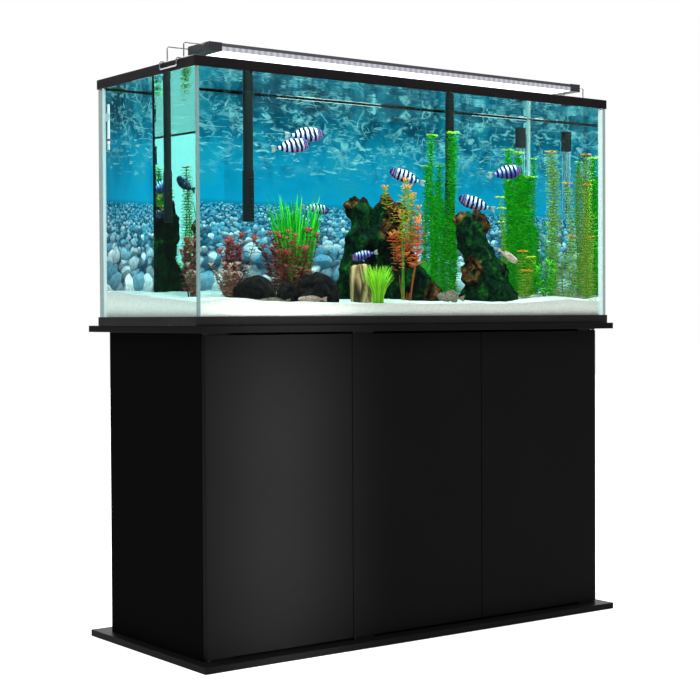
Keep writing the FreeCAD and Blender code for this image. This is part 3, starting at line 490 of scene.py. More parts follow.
def film_finish(low, high):
    """A printed sheet: stones on the sea bed, hazy blue water, and rippling light above."""
    paint = Paint("background_film")
    x, y, z = paint.axes()
    horizon = low.z + 0.52 * (high.z - low.z)

    # stones lie in rows, small and blue far off below the horizon, large and grey near the foot
    picture = paint.ramp(
        paint.grey(z, 0.0, 1.0, low.z + 0.05, horizon),
        (0.0, (0.010, 0.045, 0.075)),
        (0.7, (0.006, 0.10, 0.18)),
        (1.0, (0.003, 0.22, 0.38)),
    )
    rows = 8
    for row in range(rows):
        near = row / (rows - 1)
        width = 0.0065 * 11.0**near
        limit = horizon - 0.006 - 0.150 * near**1.2
        sheet = paint.moved(scale=(1.0, 0.0, 1.45), shift=(0.37 * row, 0.0, 0.61 * row))
        warp = paint.noise(1.1 / width, 1, source=sheet)
        bent = paint.add("ShaderNodeVectorMath", operation="ADD")
        paint.join(sheet, bent.inputs[0])
        push = paint.sums("MULTIPLY", paint.sums("SUBTRACT", warp, 0.5), width * 0.8)
        paint.join(paint.vector(push, 0.0, push), bent.inputs[1])
        cell = paint.add("ShaderNodeTexVoronoi", feature="F1")
        paint.join(bent.outputs[0], cell.inputs["Vector"])
        cell.inputs["Scale"].default_value = 1 / width
        cell.inputs["Randomness"].default_value = 0.9
        centre = paint.axes(cell.outputs["Position"])[2]
        level = paint.sums("DIVIDE", paint.sums("SUBTRACT", centre, 0.61 * row), 1.45)
        below = paint.sums("LESS_THAN", level, limit)
        inside = paint.grey(cell.outputs["Distance"], 1.0, 0.0, 0.50, 0.58)
        gaps = paint.sums("MULTIPLY", below, 0.6)
        picture = paint.blend(gaps, picture, (0.012, 0.10 - 0.06 * near, 0.20 - 0.12 * near))
        pick = paint.axes(cell.outputs["Color"])
        pale = paint.ramp(
            pick[0],
            (0.15, (0.03, 0.20, 0.34)),
            (0.4, (0.10, 0.40, 0.60)),
            (0.6, (0.26, 0.60, 0.78)),
            (0.78, (0.62, 0.90, 1.0)),
            (0.9, (1.2, 1.3, 1.3)),
        )
        grey = paint.ramp(
            pick[1],
            (0.1, (0.16, 0.30, 0.40)),
            (0.5, (0.48, 0.64, 0.72)),
            (0.85, (1.15, 1.2, 1.18)),
        )
        tone = paint.blend(0.12 + 0.5 * near, pale, grey)
        tone = paint.blend(0.06 + 0.62 * (1 - near), tone, (0.015, 0.44, 0.72))
        rise = paint.sums("SUBTRACT", z, level)
        lit = paint.grey(rise, 0.30, 1.65, -0.42 * width, 0.24 * width)
        speckle = paint.grey(paint.noise(6.0 / width, 3), 0.75, 1.2, 0.35, 0.65)
        shade = paint.sums("MULTIPLY", lit, speckle)
        stone = paint.blend(1.0, tone, paint.vector(shade, shade, shade), "MULTIPLY")
        picture = paint.blend(paint.sums("MULTIPLY", below, inside), picture, stone)

    # the water above: soft clouds of light and dark, crossed by thin bright curls
    height = paint.grey(z, 0.0, 1.0, horizon, high.z)
    water = paint.ramp(
        height,
        (0.0, (0.001, 0.45, 0.80)),
        (0.22, (0.001, 0.42, 0.74)),
        (0.45, (0.001, 0.38, 0.64)),
        (0.75, (0.001, 0.19, 0.32)),
        (1.0, (0.001, 0.13, 0.22)),
    )
    flow = paint.moved(scale=(1.0, 1.0, 1.05))
    cloud = paint.noise(13, 3, 0.55, 0.8, source=flow)
    dark = paint.grey(cloud, 0.0, 0.95, 0.54, 0.36)
    water = paint.blend(paint.sums("MULTIPLY", dark, height), water, (0.001, 0.045, 0.085))
    glow = paint.grey(cloud, 0.0, 0.8, 0.52, 0.72)
    water = paint.blend(paint.sums("MULTIPLY", glow, 0.8), water, (0.02, 0.42, 0.56))

    def curls(scale, twist, thin, source):
        """Thin bright lines where a twisted noise crosses its middle."""
        field = paint.noise(scale, 2, 0.5, twist, source=source)
        away = paint.sums("ABSOLUTE", paint.sums("SUBTRACT", field, 0.5))
        return paint.grey(away, 1.0, 0.0, 0.0, thin)

    broken = paint.grey(paint.noise(26, 3, 0.6, source=flow), 0.0, 1.0, 0.46, 0.62)
    large = paint.sums("MULTIPLY", curls(14, 1.4, 0.055, flow), broken)
    flat = paint.moved(scale=(0.7, 1.0, 1.7))
    crossed = paint.grey(paint.noise(31, 2, 0.5, source=flat), 0.0, 1.0, 0.48, 0.60)
    small = paint.sums("MULTIPLY", curls(27, 1.0, 0.060, flat), paint.sums("MULTIPLY", crossed, 0.8))
    upper = paint.grey(z, 0.0, 1.0, horizon + 0.07, horizon + 0.15)
    light = paint.sums("MULTIPLY", paint.sums("MAXIMUM", large, small), upper)
    thin = paint.moved(scale=(0.55, 1.0, 2.4))
    flecks = paint.grey(paint.noise(50, 2, 0.5, 0.6, source=thin), 0.0, 1.0, 0.59, 0.68)
    band = paint.sums(
        "MULTIPLY",
        paint.grey(z, 0.0, 1.0, horizon + 0.05, horizon + 0.09),
        paint.grey(z, 1.0, 0.3, horizon + 0.15, horizon + 0.22),
    )
    light = paint.sums("MAXIMUM", light, paint.sums("MULTIPLY", flecks, band))
    streaks = paint.moved(scale=(1.3, 1, 0.9))
    hot = paint.grey(paint.noise(30, 2, 0.5, 0.8, source=streaks), 0.0, 1.0, 0.64, 0.70)
    top = paint.grey(z, 0.0, 0.9, horizon + 0.15, horizon + 0.22)
    light = paint.sums("MAXIMUM", light, paint.sums("MULTIPLY", hot, top))
    water = paint.blend(paint.sums("MULTIPLY", light, 0.9), water, (0.36, 0.92, 1.0))
    picture = paint.blend(paint.grey(z, 0.0, 1.0, horizon - 0.012, horizon + 0.004), picture, water)

    # painted shade: the print is darkened towards the tank's left end, past the lamps
    ends = paint.grey(x, 0.50, 1.0, low.x + 0.02, low.x + 0.30)
    picture = paint.blend(1.0, picture, paint.vector(ends, ends, ends), "MULTIPLY")

    # the sheet's back is plain
    behind = paint.axes(paint.add("ShaderNodeNewGeometry").outputs["True Normal"])[1]
    back = paint.sums("GREATER_THAN", behind, 0.5)
    picture = paint.blend(back, picture, (0.004, 0.022, 0.050))

    # the print glows evenly, as if lit from all round, and takes only a little of the lamps
    paint.set(
        Base_Color=paint.blend(0.85, picture, (0.0, 0.0, 0.0)),
        Roughness=0.6,
        Specular_IOR_Level=0.0,
        Emission_Color=picture,
        Emission_Strength=FILM_GLOW,
    )
    return paint.bump(paint.noise(400, 2), 0.03, 0.0003).material


def sand_finish():
    paint = Paint("sand")
    grains = paint.cells(700)
    patches = paint.noise(11, 4)
    specks = paint.ramp(paint.noise(520, 1), (0.0, (0.55, 0.50, 0.42)), (0.36, (0.54, 0.53, 0.49)), (0.5, (0.66, 0.65, 0.62)), (1.0, (0.72, 0.72, 0.70)))
    paint.set(
        Base_Color=paint.blend(paint.grey(patches, 0.0, 0.35), specks, (0.56, 0.53, 0.48)),
        Roughness=0.9,
        Specular_IOR_Level=0.2,
    )
    # painted light: the sand glows a little all over, and more where it lies against the end panes, in place of the
    # room's light through the glass
    across = paint.axes(paint.add("ShaderNodeNewGeometry").outputs["True Normal"])[0]
    ends = paint.sums("GREATER_THAN", paint.sums("ABSOLUTE", across), 0.9)
    glow = paint.sums("ADD", SAND_GLOW, paint.sums("MULTIPLY", ends, 0.28))
    paint.set(Emission_Color=specks, Emission_Strength=glow)
    return paint.bump(grains, 0.5, 0.0012).material


def rock_finish():
    paint = Paint("rock")
    crust = paint.noise(45, 6, 0.65)
    pits = paint.cells(90)
    paint.set(
        Base_Color=paint.ramp(crust, (0.3, (0.002, 0.002, 0.003)), (0.5, (0.010, 0.008, 0.009)), (0.66, (0.030, 0.020, 0.015)), (0.8, (0.11, 0.085, 0.06))),
        Roughness=0.85,
        Specular_IOR_Level=0.15,
    )
    return paint.bump(paint.sums("ADD", crust, paint.sums("MULTIPLY", pits, 0.5)), 0.9, 0.004).material


def driftwood_finish():
    """Dark wood under moss, brown and pale where it was cut or worn, with painted near-black shade in its hollows."""
    paint = Paint("driftwood")
    bark = paint.noise(34, 8, 0.68, 0.7)
    fine = paint.noise(120, 4, 0.6)
    moss = paint.noise(13, 5, 0.6)
    brown = paint.ramp(bark, (0.40, (0.003, 0.002, 0.001)), (0.49, (0.055, 0.022, 0.006)), (0.58, (0.17, 0.072, 0.018)), (0.72, (0.42, 0.23, 0.075)))
    green = paint.ramp(bark, (0.38, (0.0005, 0.004, 0.003)), (0.48, (0.0015, 0.024, 0.012)), (0.57, (0.004, 0.062, 0.010)), (0.70, (0.03, 0.20, 0.012)))
    worn = tinted(paint)
    bare = paint.grey(worn, 0.0, 1.0, 0.0, 1.0)
    mossy = paint.grey(paint.sums("SUBTRACT", moss, paint.sums("MULTIPLY", bare, 0.9)), 0.0, 1.0, 0.20, 0.34)
    tone = paint.blend(mossy, brown, green)
    # painted shade: the hollows are darkened to near black
    hollow = paint.grey(worn, 1.0, 0.0, -1.0, -0.15)
    tone = paint.blend(hollow, tone, (0.001, 0.0015, 0.002))
    tone = paint.blend(paint.grey(fine, 0.0, 0.7, 0.52, 0.36), tone, (0.002, 0.003, 0.003))
    paint.set(Base_Color=tone, Roughness=0.8, Specular_IOR_Level=0.08)
    return paint.bump(paint.sums("ADD", bark, paint.sums("MULTIPLY", fine, 0.4)), 1.0, 0.008).material


def log_finish():
    paint = Paint("log_wood")
    grain = paint.noise(16, 5, 0.6, 0.8, source=paint.moved(scale=(3.2, 3.2, 0.55)))
    paint.set(
        Base_Color=paint.ramp(grain, (0.34, (0.035, 0.02, 0.008)), (0.47, (0.20, 0.11, 0.035)), (0.56, (0.50, 0.33, 0.13)), (0.7, (0.72, 0.54, 0.27))),
        Roughness=0.7,
    )
    return paint.bump(grain, 0.9, 0.004).material


def leaf_finish(name, dark, middle_tone, light, glow=0.0, vein=180):
    """A leaf: its tone follows the tint on its points, with a fine mottle, and it glows by its own tone as painted
    light.
    """
    paint = Paint(name)
    tone = paint.ramp(tinted(paint), (0.0, dark), (0.5, middle_tone), (1.0, light))
    mottle = paint.noise(vein, 3)
    # painted light: glow makes the leaf glow by its own tone
    paint.set(
        Base_Color=paint.blend(paint.grey(mottle, 0.0, 0.45), tone, tuple(c * 0.45 for c in dark)),
        Roughness=0.45,
        Specular_IOR_Level=0.3,
        Subsurface_Weight=0.0,
        Emission_Color=tone,
        Emission_Strength=glow,
    )
    return paint.bump(mottle, 0.25, 0.0006).material


def striped_fish(name, belly, flank, back, bar_share):
    """A fish with dark upright bars on a pale body, a dusky face and a glassy tail. It lies along
    its own X axis, one unit long, head at +0.5."""
    paint = Paint(name)
    x, y, z = paint.axes()
    bend = paint.sums("MULTIPLY", paint.sums("SUBTRACT", paint.noise(3.2, 2), 0.5), 0.10)
    phase = paint.sums("ADD", x, paint.sums("ADD", bend, paint.sums("MULTIPLY", z, 0.14)))
    wave = paint.sums("SINE", paint.sums("MULTIPLY", phase, 2 * math.pi * 8.6))
    edge = 0.5 - bar_share
    bars = paint.grey(wave, 0.0, 1.0, edge - 0.25, edge + 0.15)
    body_tone = paint.ramp(
        paint.grey(z, 0.0, 1.0, -0.13, 0.13), (0.0, belly), (0.40, flank), (0.85, back), (1.0, back)
    )
    barred = paint.blend(bars, body_tone, (0.001, 0.001, 0.006))
    fin_edge = paint.grey(paint.sums("ABSOLUTE", z), 0.0, 0.7, 0.13, 0.16)
    barred = paint.blend(fin_edge, barred, (0.42, 0.52, 0.56))
    face = paint.grey(x, 0.0, 1.0, 0.30, 0.38)
    face_wave = paint.sums("SINE", paint.sums("MULTIPLY", phase, 2 * math.pi * 15))
    cheek = paint.blend(paint.grey(z, 0.0, 1.0, -0.05, 0.03), (0.30, 0.10, 0.26), (0.10, 0.10, 0.30))
    tone = paint.blend(face, barred, paint.blend(paint.grey(face_wave, 0, 1, 0, 0.4), cheek, (0.005, 0.005, 0.02)))
    tone = paint.blend(paint.grey(x, 0.0, 0.9, 0.45, 0.49), tone, (0.01, 0.008, 0.012))
    tail = paint.grey(x, 1.0, 0.0, -0.36, -0.30)
    tone = paint.blend(tail, tone, (0.20, 0.28, 0.27))
    paint.set(
        Base_Color=paint.blend(paint.grey(paint.noise(26, 3), 0.0, 0.5, 0.46, 0.62), tone, (0.03, 0.03, 0.10)),
        Roughness=0.5,
        Specular_IOR_Level=0.1,
    )
    return paint.bump(paint.cells(46), 0.2, 0.004).material


def plain_fish(name, pale, dark, scale=14):
    paint = Paint(name)
    spots = paint.noise(scale, 4, 0.6)
    z = paint.axes()[2]
    tone = paint.ramp(spots, (0.38, pale), (0.56, tuple((a + b) / 2 for a, b in zip(pale, dark))), (0.7, dark))
    tone = paint.blend(paint.grey(z, 0.5, 0.0, -0.12, 0.04), tone, pale)
    paint.set(Base_Color=tone, Roughness=0.5, Specular_IOR_Level=0.1)
    return paint.bump(spots, 0.3, 0.004).material


def lit_diffuser(low, high):
    """Frosted cover: bright below, and with the row of LEDs showing through its front."""
    paint = Paint("diffuser")
    x, y, z = paint.axes()
    facing = paint.axes(paint.add("ShaderNodeNewGeometry").outputs["True Normal"])[2]
    below = paint.sums("LESS_THAN", facing, -0.5)
    row = paint.sums("SINE", paint.sums("MULTIPLY", x, 2 * math.pi / 0.0165))
    dots = paint.grey(row, 0.26, 0.50, -1.0, 1.0)
    slow = paint.grey(paint.noise(20, 2, source=paint.moved(scale=(1, 0, 0))), 0.8, 1.15)
    side = paint.sums("MULTIPLY", dots, slow)
    glow = paint.sums("ADD", paint.sums("MULTIPLY", below, 3.0), side)
    paint.set(
        Base_Color=(0.16, 0.16, 0.18, 1),
        Roughness=0.4,
        Emission_Color=(0.90, 0.90, 1.0, 1),
        Emission_Strength=glow,
    )
    return paint.bump(paint.noise(500, 1), 0.05, 0.0002).material


def heater_glass():
    """A glass tube: clear in the middle, pale at its sides; the pale sides are partly real gloss and partly a painted
    reflection that glows a little.
    """
    paint = Paint("heater_glass")
    around = paint.add("ShaderNodeLayerWeight")
    around.inputs["Blend"].default_value = 0.5
    clear = paint.add("ShaderNodeBsdfTransparent")
    clear.inputs["Color"].default_value = (0.80, 0.93, 0.92, 1)
    cloud = paint.noise(40, 2)
    tone = paint.blend(paint.grey(cloud, 0, 1), (0.62, 0.78, 0.78), (0.72, 0.86, 0.84))
    # painted reflection and light: the pale tone at the sides glows a little
    paint.set(Base_Color=tone, Roughness=0.08, Emission_Color=tone, Emission_Strength=0.1)
    mix = paint.add("ShaderNodeMixShader")
    paint.join(paint.grey(around.outputs["Facing"], 0.06, 0.7, 0.35, 1.0), mix.inputs["Fac"])
    paint.join(clear.outputs[0], mix.inputs[1])
    paint.join(paint.shader.outputs[0], mix.inputs[2])
    paint.join(mix.outputs[0], paint.output.inputs["Surface"])
    return paint.material


def heater_core_finish():
    """The ceramic rod inside, wound with fine wire."""
    paint = Paint("heater_core")
    z = paint.axes()[2]
    coil = paint.sums("SINE", paint.sums("MULTIPLY", z, 2 * math.pi / 0.0034))
    tone = paint.blend(paint.grey(coil, 0.0, 1.0, 0.2, 0.6), (0.20, 0.30, 0.30), (0.04, 0.07, 0.07))
    paint.set(Base_Color=tone, Roughness=0.5)
    return paint.bump(coil, 0.3, 0.0006).material


def thermometer_finish(low, high):
    """A white scale in a glass tube, with a red band near the foot, which glow a little by their own tone as painted
    light.
    """
    paint = Paint("thermometer_glass")
    z = paint.axes()[2]
    height = paint.grey(z, 0.0, 1.0, low.z, high.z)
    marks = paint.sums("SINE", paint.sums("MULTIPLY", z, 2 * math.pi / 0.004))
    scale = paint.blend(paint.grey(marks, 0, 0.25, 0.3, 0.7), (0.88, 0.92, 0.92), (0.16, 0.20, 0.22))
    tone = paint.ramp(
        height,
        (0.0, (0.62, 0.66, 0.66)),
        (0.13, (0.88, 0.90, 0.90)),
        (0.19, (0.40, 0.02, 0.03)),
        (0.235, (0.9, 0.92, 0.92)),
        mode="CONSTANT",
    )
    tone = paint.blend(paint.grey(height, 0.0, 1.0, 0.32, 0.34), tone, scale)
    # painted light: the scale and the band glow a little by their own tone
    paint.set(
        Base_Color=tone, Roughness=0.1, Coat_Weight=0.6, Emission_Color=tone, Emission_Strength=0.25
    )
    return paint.material


def matte(name, tone, rough=0.6, scale=120):
    paint = Paint(name)
    cloud = paint.noise(scale, 3)
    paint.set(
        Base_Color=paint.blend(paint.grey(cloud, 0.0, 1.0), tone, tuple(c * 0.8 for c in tone)),
        Roughness=paint.grey(cloud, rough, rough + 0.1),
    )
    return paint.bump(cloud, 0.1, 0.0004).material


# The CAD nodes' finishes -------------------------------------------------------------------------


def finish_node(material, *nodes):
    for name in nodes:
        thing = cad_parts[name]
        thing = bpy.data.objects[thing] if isinstance(thing, str) else thing
        thing.data.materials.clear()
        thing.data.materials.append(material)


film_low, film_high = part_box("background_film")
diffuser_low, diffuser_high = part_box("light_diffuser")
thermometer_low, thermometer_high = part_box("thermometer")
# painted shade and light: the carcass, the boards and the doors are one black laminate, given three tones and shines by
# how light falls on them; the carcass is darkest, the boards and the doors lighter
carcass = laminate("black_laminate", (0.0028, 0.0028, 0.0028), 0.0)
finish_node(
    carcass,
    "left_side_panel",
    "right_side_panel",
    "left_partition",
    "right_partition",
    "back_panel",
    "back_rail",
)
finish_node(laminate("black_board_painted_light", (0.0046, 0.0045, 0.0045), 0.02), "base_board", "top_board")
finish_node(laminate("black_door", (0.0042, 0.0042, 0.0042), 0.01), "left_door", "centre_door", "right_door")
finish_node(
    metal("zinc", (0.02, 0.02, 0.021), 0.5),
    "carcass_screws",
    "hinge_plates",
    "left_door_hinge_plates",
    "centre_door_hinge_plates",
    "right_door_hinge_plates",
)
finish_node(matte("nylon", (0.03, 0.03, 0.03)), "hinge_washers")
finish_node(
    matte("latch_plastic", (0.2, 0.2, 0.21)),
    "latch_housings",
    "left_latch_plunger",
    "centre_latch_plunger",
    "right_latch_plunger",
)
finish_node(matte("rubber_black", (0.015, 0.015, 0.016), 0.7), "door_bumpers", "heater_cap")
PALE_EDGE, DARK_EDGE = (0.58, 0.72, 0.72), (0.010, 0.055, 0.050)
FAINT_TINT, SIDE_TINT = (0.955, 0.985, 0.975), (0.90, 0.97, 0.96)
finish_node(glass_pane("glass_front_back", 1, FAINT_TINT, PALE_EDGE, 0.6, 0.1), "front_pane", "back_pane")
finish_node(glass_pane("glass_sides", 0, SIDE_TINT, DARK_EDGE, 0.3, 0.35), "left_pane", "right_pane")
finish_node(glass_pane("glass_bottom", 2, FAINT_TINT, DARK_EDGE, 0.3, 0.2), "bottom_pane")
frame_black = gloss_plastic("frame_plastic", (0.0045, 0.0035, 0.0040), 0.2)
finish_node(frame_black, "top_frame", "bottom_frame")
finish_node(film_finish(film_low, film_high), "background_film")
finish_node(metal("light_metal", (0.16, 0.16, 0.17), 0.35), "light_housing")
finish_node(lit_diffuser(diffuser_low, diffuser_high), "light_diffuser")
finish_node(matte("circuit_board", (0.85, 0.85, 0.85)), "led_board")
finish_node(gloss_plastic("cap_plastic", (0.025, 0.025, 0.027), 0.3), "left_end_cap", "right_end_cap")
finish_node(metal("wire", (0.5, 0.5, 0.52), 0.18), "left_light_bracket", "right_light_bracket")
filter_black = gloss_plastic("filter_plastic", (0.010, 0.011, 0.012), 0.3)
finish_node(
    filter_black,
    "left_filter_case",
    "right_filter_case",
    "left_filter_lid",
    "right_filter_lid",
    "left_filter_intake",
    "right_filter_intake",
    "filter_strainers",
    "filter_motors",
)
finish_node(matte("filter_pad", (0.55, 0.68, 0.78), 0.9, 300), "filter_cartridges")
finish_node(matte("impeller_plastic", (0.8, 0.8, 0.77)), "left_filter_impeller", "right_filter_impeller")
finish_node(heater_glass(), "heater_tube")
finish_node(thermometer_finish(thermometer_low, thermometer_high), "thermometer")


def silicone_finish():
    paint = Paint("clear_silicone")
    cloud = paint.noise(60, 2)
    clear = paint.add("ShaderNodeBsdfTransparent")
    clear.inputs["Color"].default_value = (0.90, 0.97, 0.95, 1)
    # painted light: the silicone glows a little in its pale tone
    paint.set(
        Base_Color=(0.66, 0.80, 0.80, 1),
        Roughness=paint.grey(cloud, 0.2, 0.35),
        Specular_IOR_Level=0.1,
        Emission_Color=(0.66, 0.80, 0.80, 1),
        Emission_Strength=0.3,
    )
    mix = paint.add("ShaderNodeMixShader")
    mix.inputs["Fac"].default_value = 0.6
    paint.join(clear.outputs[0], mix.inputs[1])
    paint.join(paint.shader.outputs[0], mix.inputs[2])
    paint.join(mix.outputs[0], paint.output.inputs["Surface"])
    return paint.material


finish_node(silicone_finish(), "silicone_seams")

# Water -------------------------------------------------------------------------------------------


# The water lies against the film on the left of the back wall. From the left filter's tube
# on, a film of air comes between, so that rays from the left pane turn back there, as in a mirror.
WATER_GAP = 0.5 * MM
COUPLED_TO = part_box("left_filter_intake")[0].x - 30 * MM


def make_water():
    """The body of water, with faint ripples on top."""
    low = INNER_LOW + Vector((WATER_GAP, WATER_GAP, WATER_GAP))
    high = Vector((INNER_HIGH.x - WATER_GAP, INNER_HIGH.y - WATER_GAP, WATER_TOP))
    pocket = (film_low.y + film_high.y) / 2
    across, deep = 120, 44
    points, faces = [], []
    split = round((COUPLED_TO - low.x) / (high.x - low.x) * across)
    for j in range(deep + 1):
        for i in range(across + 1):
            x = low.x + (high.x - low.x) * i / across
            back = pocket if i <= split else high.y
            y = low.y + (back - low.y) * j / deep
            inner = 0 < i < across and 0 < j < deep
            ripple = noise.noise(Vector((x * 9, y * 13, 3))) + 0.4 * noise.noise(Vector((x * 31, y * 36, 8)))
            points.append((x, y, high.z + (0.0007 * ripple if inner else 0)))
    row = across + 1
    for j in range(deep):
        for i in range(across):
            a = j * row + i
            faces.append((a, a + 1, a + 1 + row, a + row))
    rim = [i for i in range(row)]
    rim += [j * row + across for j in range(1, deep + 1)]
    rim += [deep * row + i for i in range(across - 1, -1, -1)]
    rim += [j * row for j in range(deep - 1, 0, -1)]
    base = len(points)
    # walls: one upright face per straight stretch of the rim
    back_right = across + deep
    step = back_right + across - split - 1
    corners = [0, across, back_right, step, step + 1, 2 * across + deep]
    count = len(corners)
    for k in corners:
        x, y, z = points[rim[k]]
        points.append((x, y, low.z))
    for side in range(count):
        first = corners[side]
        last = corners[(side + 1) % count] or len(rim)
        run = [rim[k % len(rim)] for k in range(first, last + 1)]
        faces.append(tuple(reversed(run)) + (base + side, base + (side + 1) % count))
    faces.append(tuple(base + k for k in reversed(range(count))))
    piece = mesh_piece("water", points, faces)
    return give(piece, water_finish(), smooth=False)


water = make_water()

# Light under the water's surface, so that what is in the tank is lit without crossing it.
tank_middle = (INNER_LOW + INNER_HIGH) / 2
UNDER_LIGHT = 7.0
FRONT_LIGHT = 4.5
for number, shift in enumerate((-0.3, 0.3)):
    inside = lamp(
        f"tank_light_{number}",
        (tank_middle.x + shift, INNER_LOW.y + 0.14, WATER_TOP - 0.012),
        (tank_middle.x + shift, INNER_LOW.y + 0.19, FLOOR_TOP),
        0.56,
        0.16,
        UNDER_LIGHT,
        (0.97, 0.99, 1.0),
    )
    inside.visible_glossy = False
front_fill = lamp(
    "tank_front_light",
    (tank_middle.x, INNER_LOW.y + 2 * MM, tank_middle.z + 0.03),
    (tank_middle.x, INNER_HIGH.y, tank_middle.z + 0.03),
    1.18,
    0.44,
    FRONT_LIGHT,
    (0.97, 0.99, 1.0),
)
front_fill.visible_glossy = False

# Sand --------------------------------------------------------------------------------------------


def sand_level(x, y):
    """Height of the sand: deeper to the back, with low mounds."""
    t = (y - INNER_LOW.y) / (INNER_HIGH.y - INNER_LOW.y)
    slope = 0.0345 + 0.030 * t
    mounds = 0.0045 * noise.noise(Vector((x * 6.0, y * 7.0, 1.7))) + 0.0022 * noise.noise(Vector((x * 19, y * 19, 5)))
    right_bank = 0.010 * math.exp(-((x - 0.50) / 0.12) ** 2)
    left_bank = 0.008 * math.exp(-((x + 0.52) / 0.08) ** 2)
    return FLOOR_TOP + min(slope + mounds + right_bank + left_bank, 0.0675)


def make_sand():
    across, deep = ((320, 110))
    gap = 0.1 * MM
    low, high = INNER_LOW + Vector((gap, gap, 0)), INNER_HIGH - Vector((gap, gap, 0))
    points, faces = [], []
    for j in range(deep + 1):
        for i in range(across + 1):
            x = low.x + (high.x - low.x) * i / across
            y = low.y + (high.y - low.y) * j / deep
            grain = 0.0006 * noise.noise(Vector((x * 160, y * 160, 2)))
            points.append((x, y, sand_level(x, y) + grain))
    row = across + 1
    for j in range(deep):
        for i in range(across):
            a = j * row + i
            faces.append((a, a + 1, a + 1 + row, a + row))
    rim = [i for i in range(row)]
    rim += [j * row + across for j in range(1, deep + 1)]
    rim += [deep * row + i for i in range(across - 1, -1, -1)]
    rim += [j * row for j in range(deep - 1, 0, -1)]
    base = len(points)
    for k in rim:
        x, y, z = points[k]
        points.append((x, y, FLOOR_TOP + 0.3 * MM))
    for k in range(len(rim)):
        n = (k + 1) % len(rim)
        faces.append((rim[n], rim[k], base + k, base + n))
    faces.append(tuple(reversed(range(base, base + len(rim)))))
    piece = mesh_piece("sand", points, faces)
    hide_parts("sand_bed")
    return give(piece, sand_finish())


make_sand()

# Rocks and driftwood -----------------------------------------------------------------------------


def rough(point, amount, scale, seed):
    """A push that roughens a surface, from several sizes of noise."""
    total, size, share = 0.0, scale, 1.0
    for octave in range(4):
        total += share * noise.noise(point * size + Vector((seed, seed * 1.7, octave * 3.1)))
        size *= 2.1
        share *= 0.52
    return amount * total


def make_rock(name, centre, radii, seed):
    mesh = bmesh.new()
    bmesh.ops.create_icosphere(mesh, subdivisions=5, radius=1.0)
    for v in mesh.verts:
        d = v.co.normalized()
        facet = 0.12 * noise.noise(d * 1.6 + Vector((seed, 0, 0)))
        v.co = Vector((d.x * radii[0], d.y * radii[1], d.z * radii[2])) * (0.93 + facet + rough(d, 0.10, 2.4, seed))
        v.co += Vector(centre)
    data = bpy.data.meshes.new(name)
    mesh.to_mesh(data)
    mesh.free()
    piece = bpy.data.objects.new(name, data)
    scene.collection.objects.link(piece)
    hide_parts("rocks")
    return piece


rock_material = rock_finish()
for name, centre, radii, seed in (
    ("rock_left", (-0.418, -0.120, 0.796), (0.060, 0.046, 0.052), 3),
    ("rock_small", (-0.330, -0.112, 0.796), (0.028, 0.028, 0.040), 8),
    ("rock_right", (-0.252, -0.125, 0.800), (0.060, 0.048, 0.060), 14),
):
    give(make_rock(name, centre, radii, seed), rock_material)


def make_wood(name, node, limbs, cuts, voxel, amount, seed):
    """Driftwood: limbs of round section melted together and roughened. cuts are spots, each a
    place and a reach: bare wood, or, where the reach is below zero, a pushed-in hollow that the wood finish paints with
    near-black shade."""
    build = Builder()
    for line, radii in limbs:
        build.tube([Vector(p) for p in line], radii, sides=14)
    source = build.piece(name + "_limbs")
    melt = source.modifiers.new("melt", "REMESH")
    melt.mode = "VOXEL"
    melt.voxel_size = voxel * 1
    ease = source.modifiers.new("ease", "SMOOTH")
    ease.iterations = 6
    ease.factor = 0.6
    bpy.context.view_layer.update()
    graph = bpy.context.evaluated_depsgraph_get()
    data = bpy.data.meshes.new_from_object(source.evaluated_get(graph))
    data.name = name
    bpy.data.objects.remove(source)
    data.calc_loop_triangles()
    normals = [v.normal.copy() for v in data.vertices]
    values = []
    for v, normal in zip(data.vertices, normals):
        point = v.co.copy()
        ridge = Vector((point.x * 1.6, point.y * 1.6, point.z * 0.55))
        v.co = point + normal * (rough(point, amount, 26, seed) + rough(ridge, amount * 1.2, 16, seed + 5))
        bare = 0.0
        for place, reach in cuts:
            share = 1.0 - (point - Vector(place)).length / abs(reach)
            if share > 0:
                bare = max(bare, min(1.0, share * 1.8)) if reach > 0 else -min(1.0, share * 3.0)
                # a value below zero marks a hollow, which the wood finish paints as near-black shade
                if bare < 0:
                    v.co -= normal * (0.016 * min(1.0, share * 1.6))
                    break
        values.append(bare)
    piece = bpy.data.objects.new(name, data)
    scene.collection.objects.link(piece)
    tint = data.attributes.new("tint", "FLOAT", "POINT")
    tint.data.foreach_set("value", values)
    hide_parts(node)
    return piece


driftwood_material = driftwood_finish()
left_limbs = [
    ([(-0.085, -0.02, 0.77), (-0.080, -0.02, 0.86), (-0.072, -0.018, 0.94), (-0.072, -0.016, 1.015)], [0.062, 0.052, 0.042, 0.034]),
    ([(0.02, -0.015, 0.77), (0.004, -0.02, 0.86), (-0.010, -0.018, 0.95), (0.006, -0.014, 1.02)], [0.066, 0.056, 0.048, 0.036]),
    ([(-0.066, -0.018, 0.93), (-0.03, -0.018, 0.95), (0.005, -0.018, 0.96)], [0.040, 0.040, 0.040]),
    ([(-0.082, -0.016, 1.00), (-0.108, -0.016, 1.030)], [0.028, 0.018]),
    ([(-0.068, -0.016, 1.00), (-0.060, -0.016, 1.042)], [0.026, 0.014]),
    ([(0.000, -0.030, 0.985), (0.052, -0.032, 1.015)], [0.034, 0.020]),
    ([(0.012, -0.014, 1.01), (-0.008, -0.014, 1.040)], [0.028, 0.018]),
    ([(0.012, -0.030, 0.93), (0.055, -0.034, 0.950)], [0.032, 0.018]),
    ([(0.020, -0.060, 0.89), (0.055, -0.075, 0.835), (0.120, -0.085, 0.795)], [0.038, 0.044, 0.030]),
    ([(-0.12, -0.02, 0.78), (-0.140, -0.02, 0.81)], [0.034, 0.020]),
]
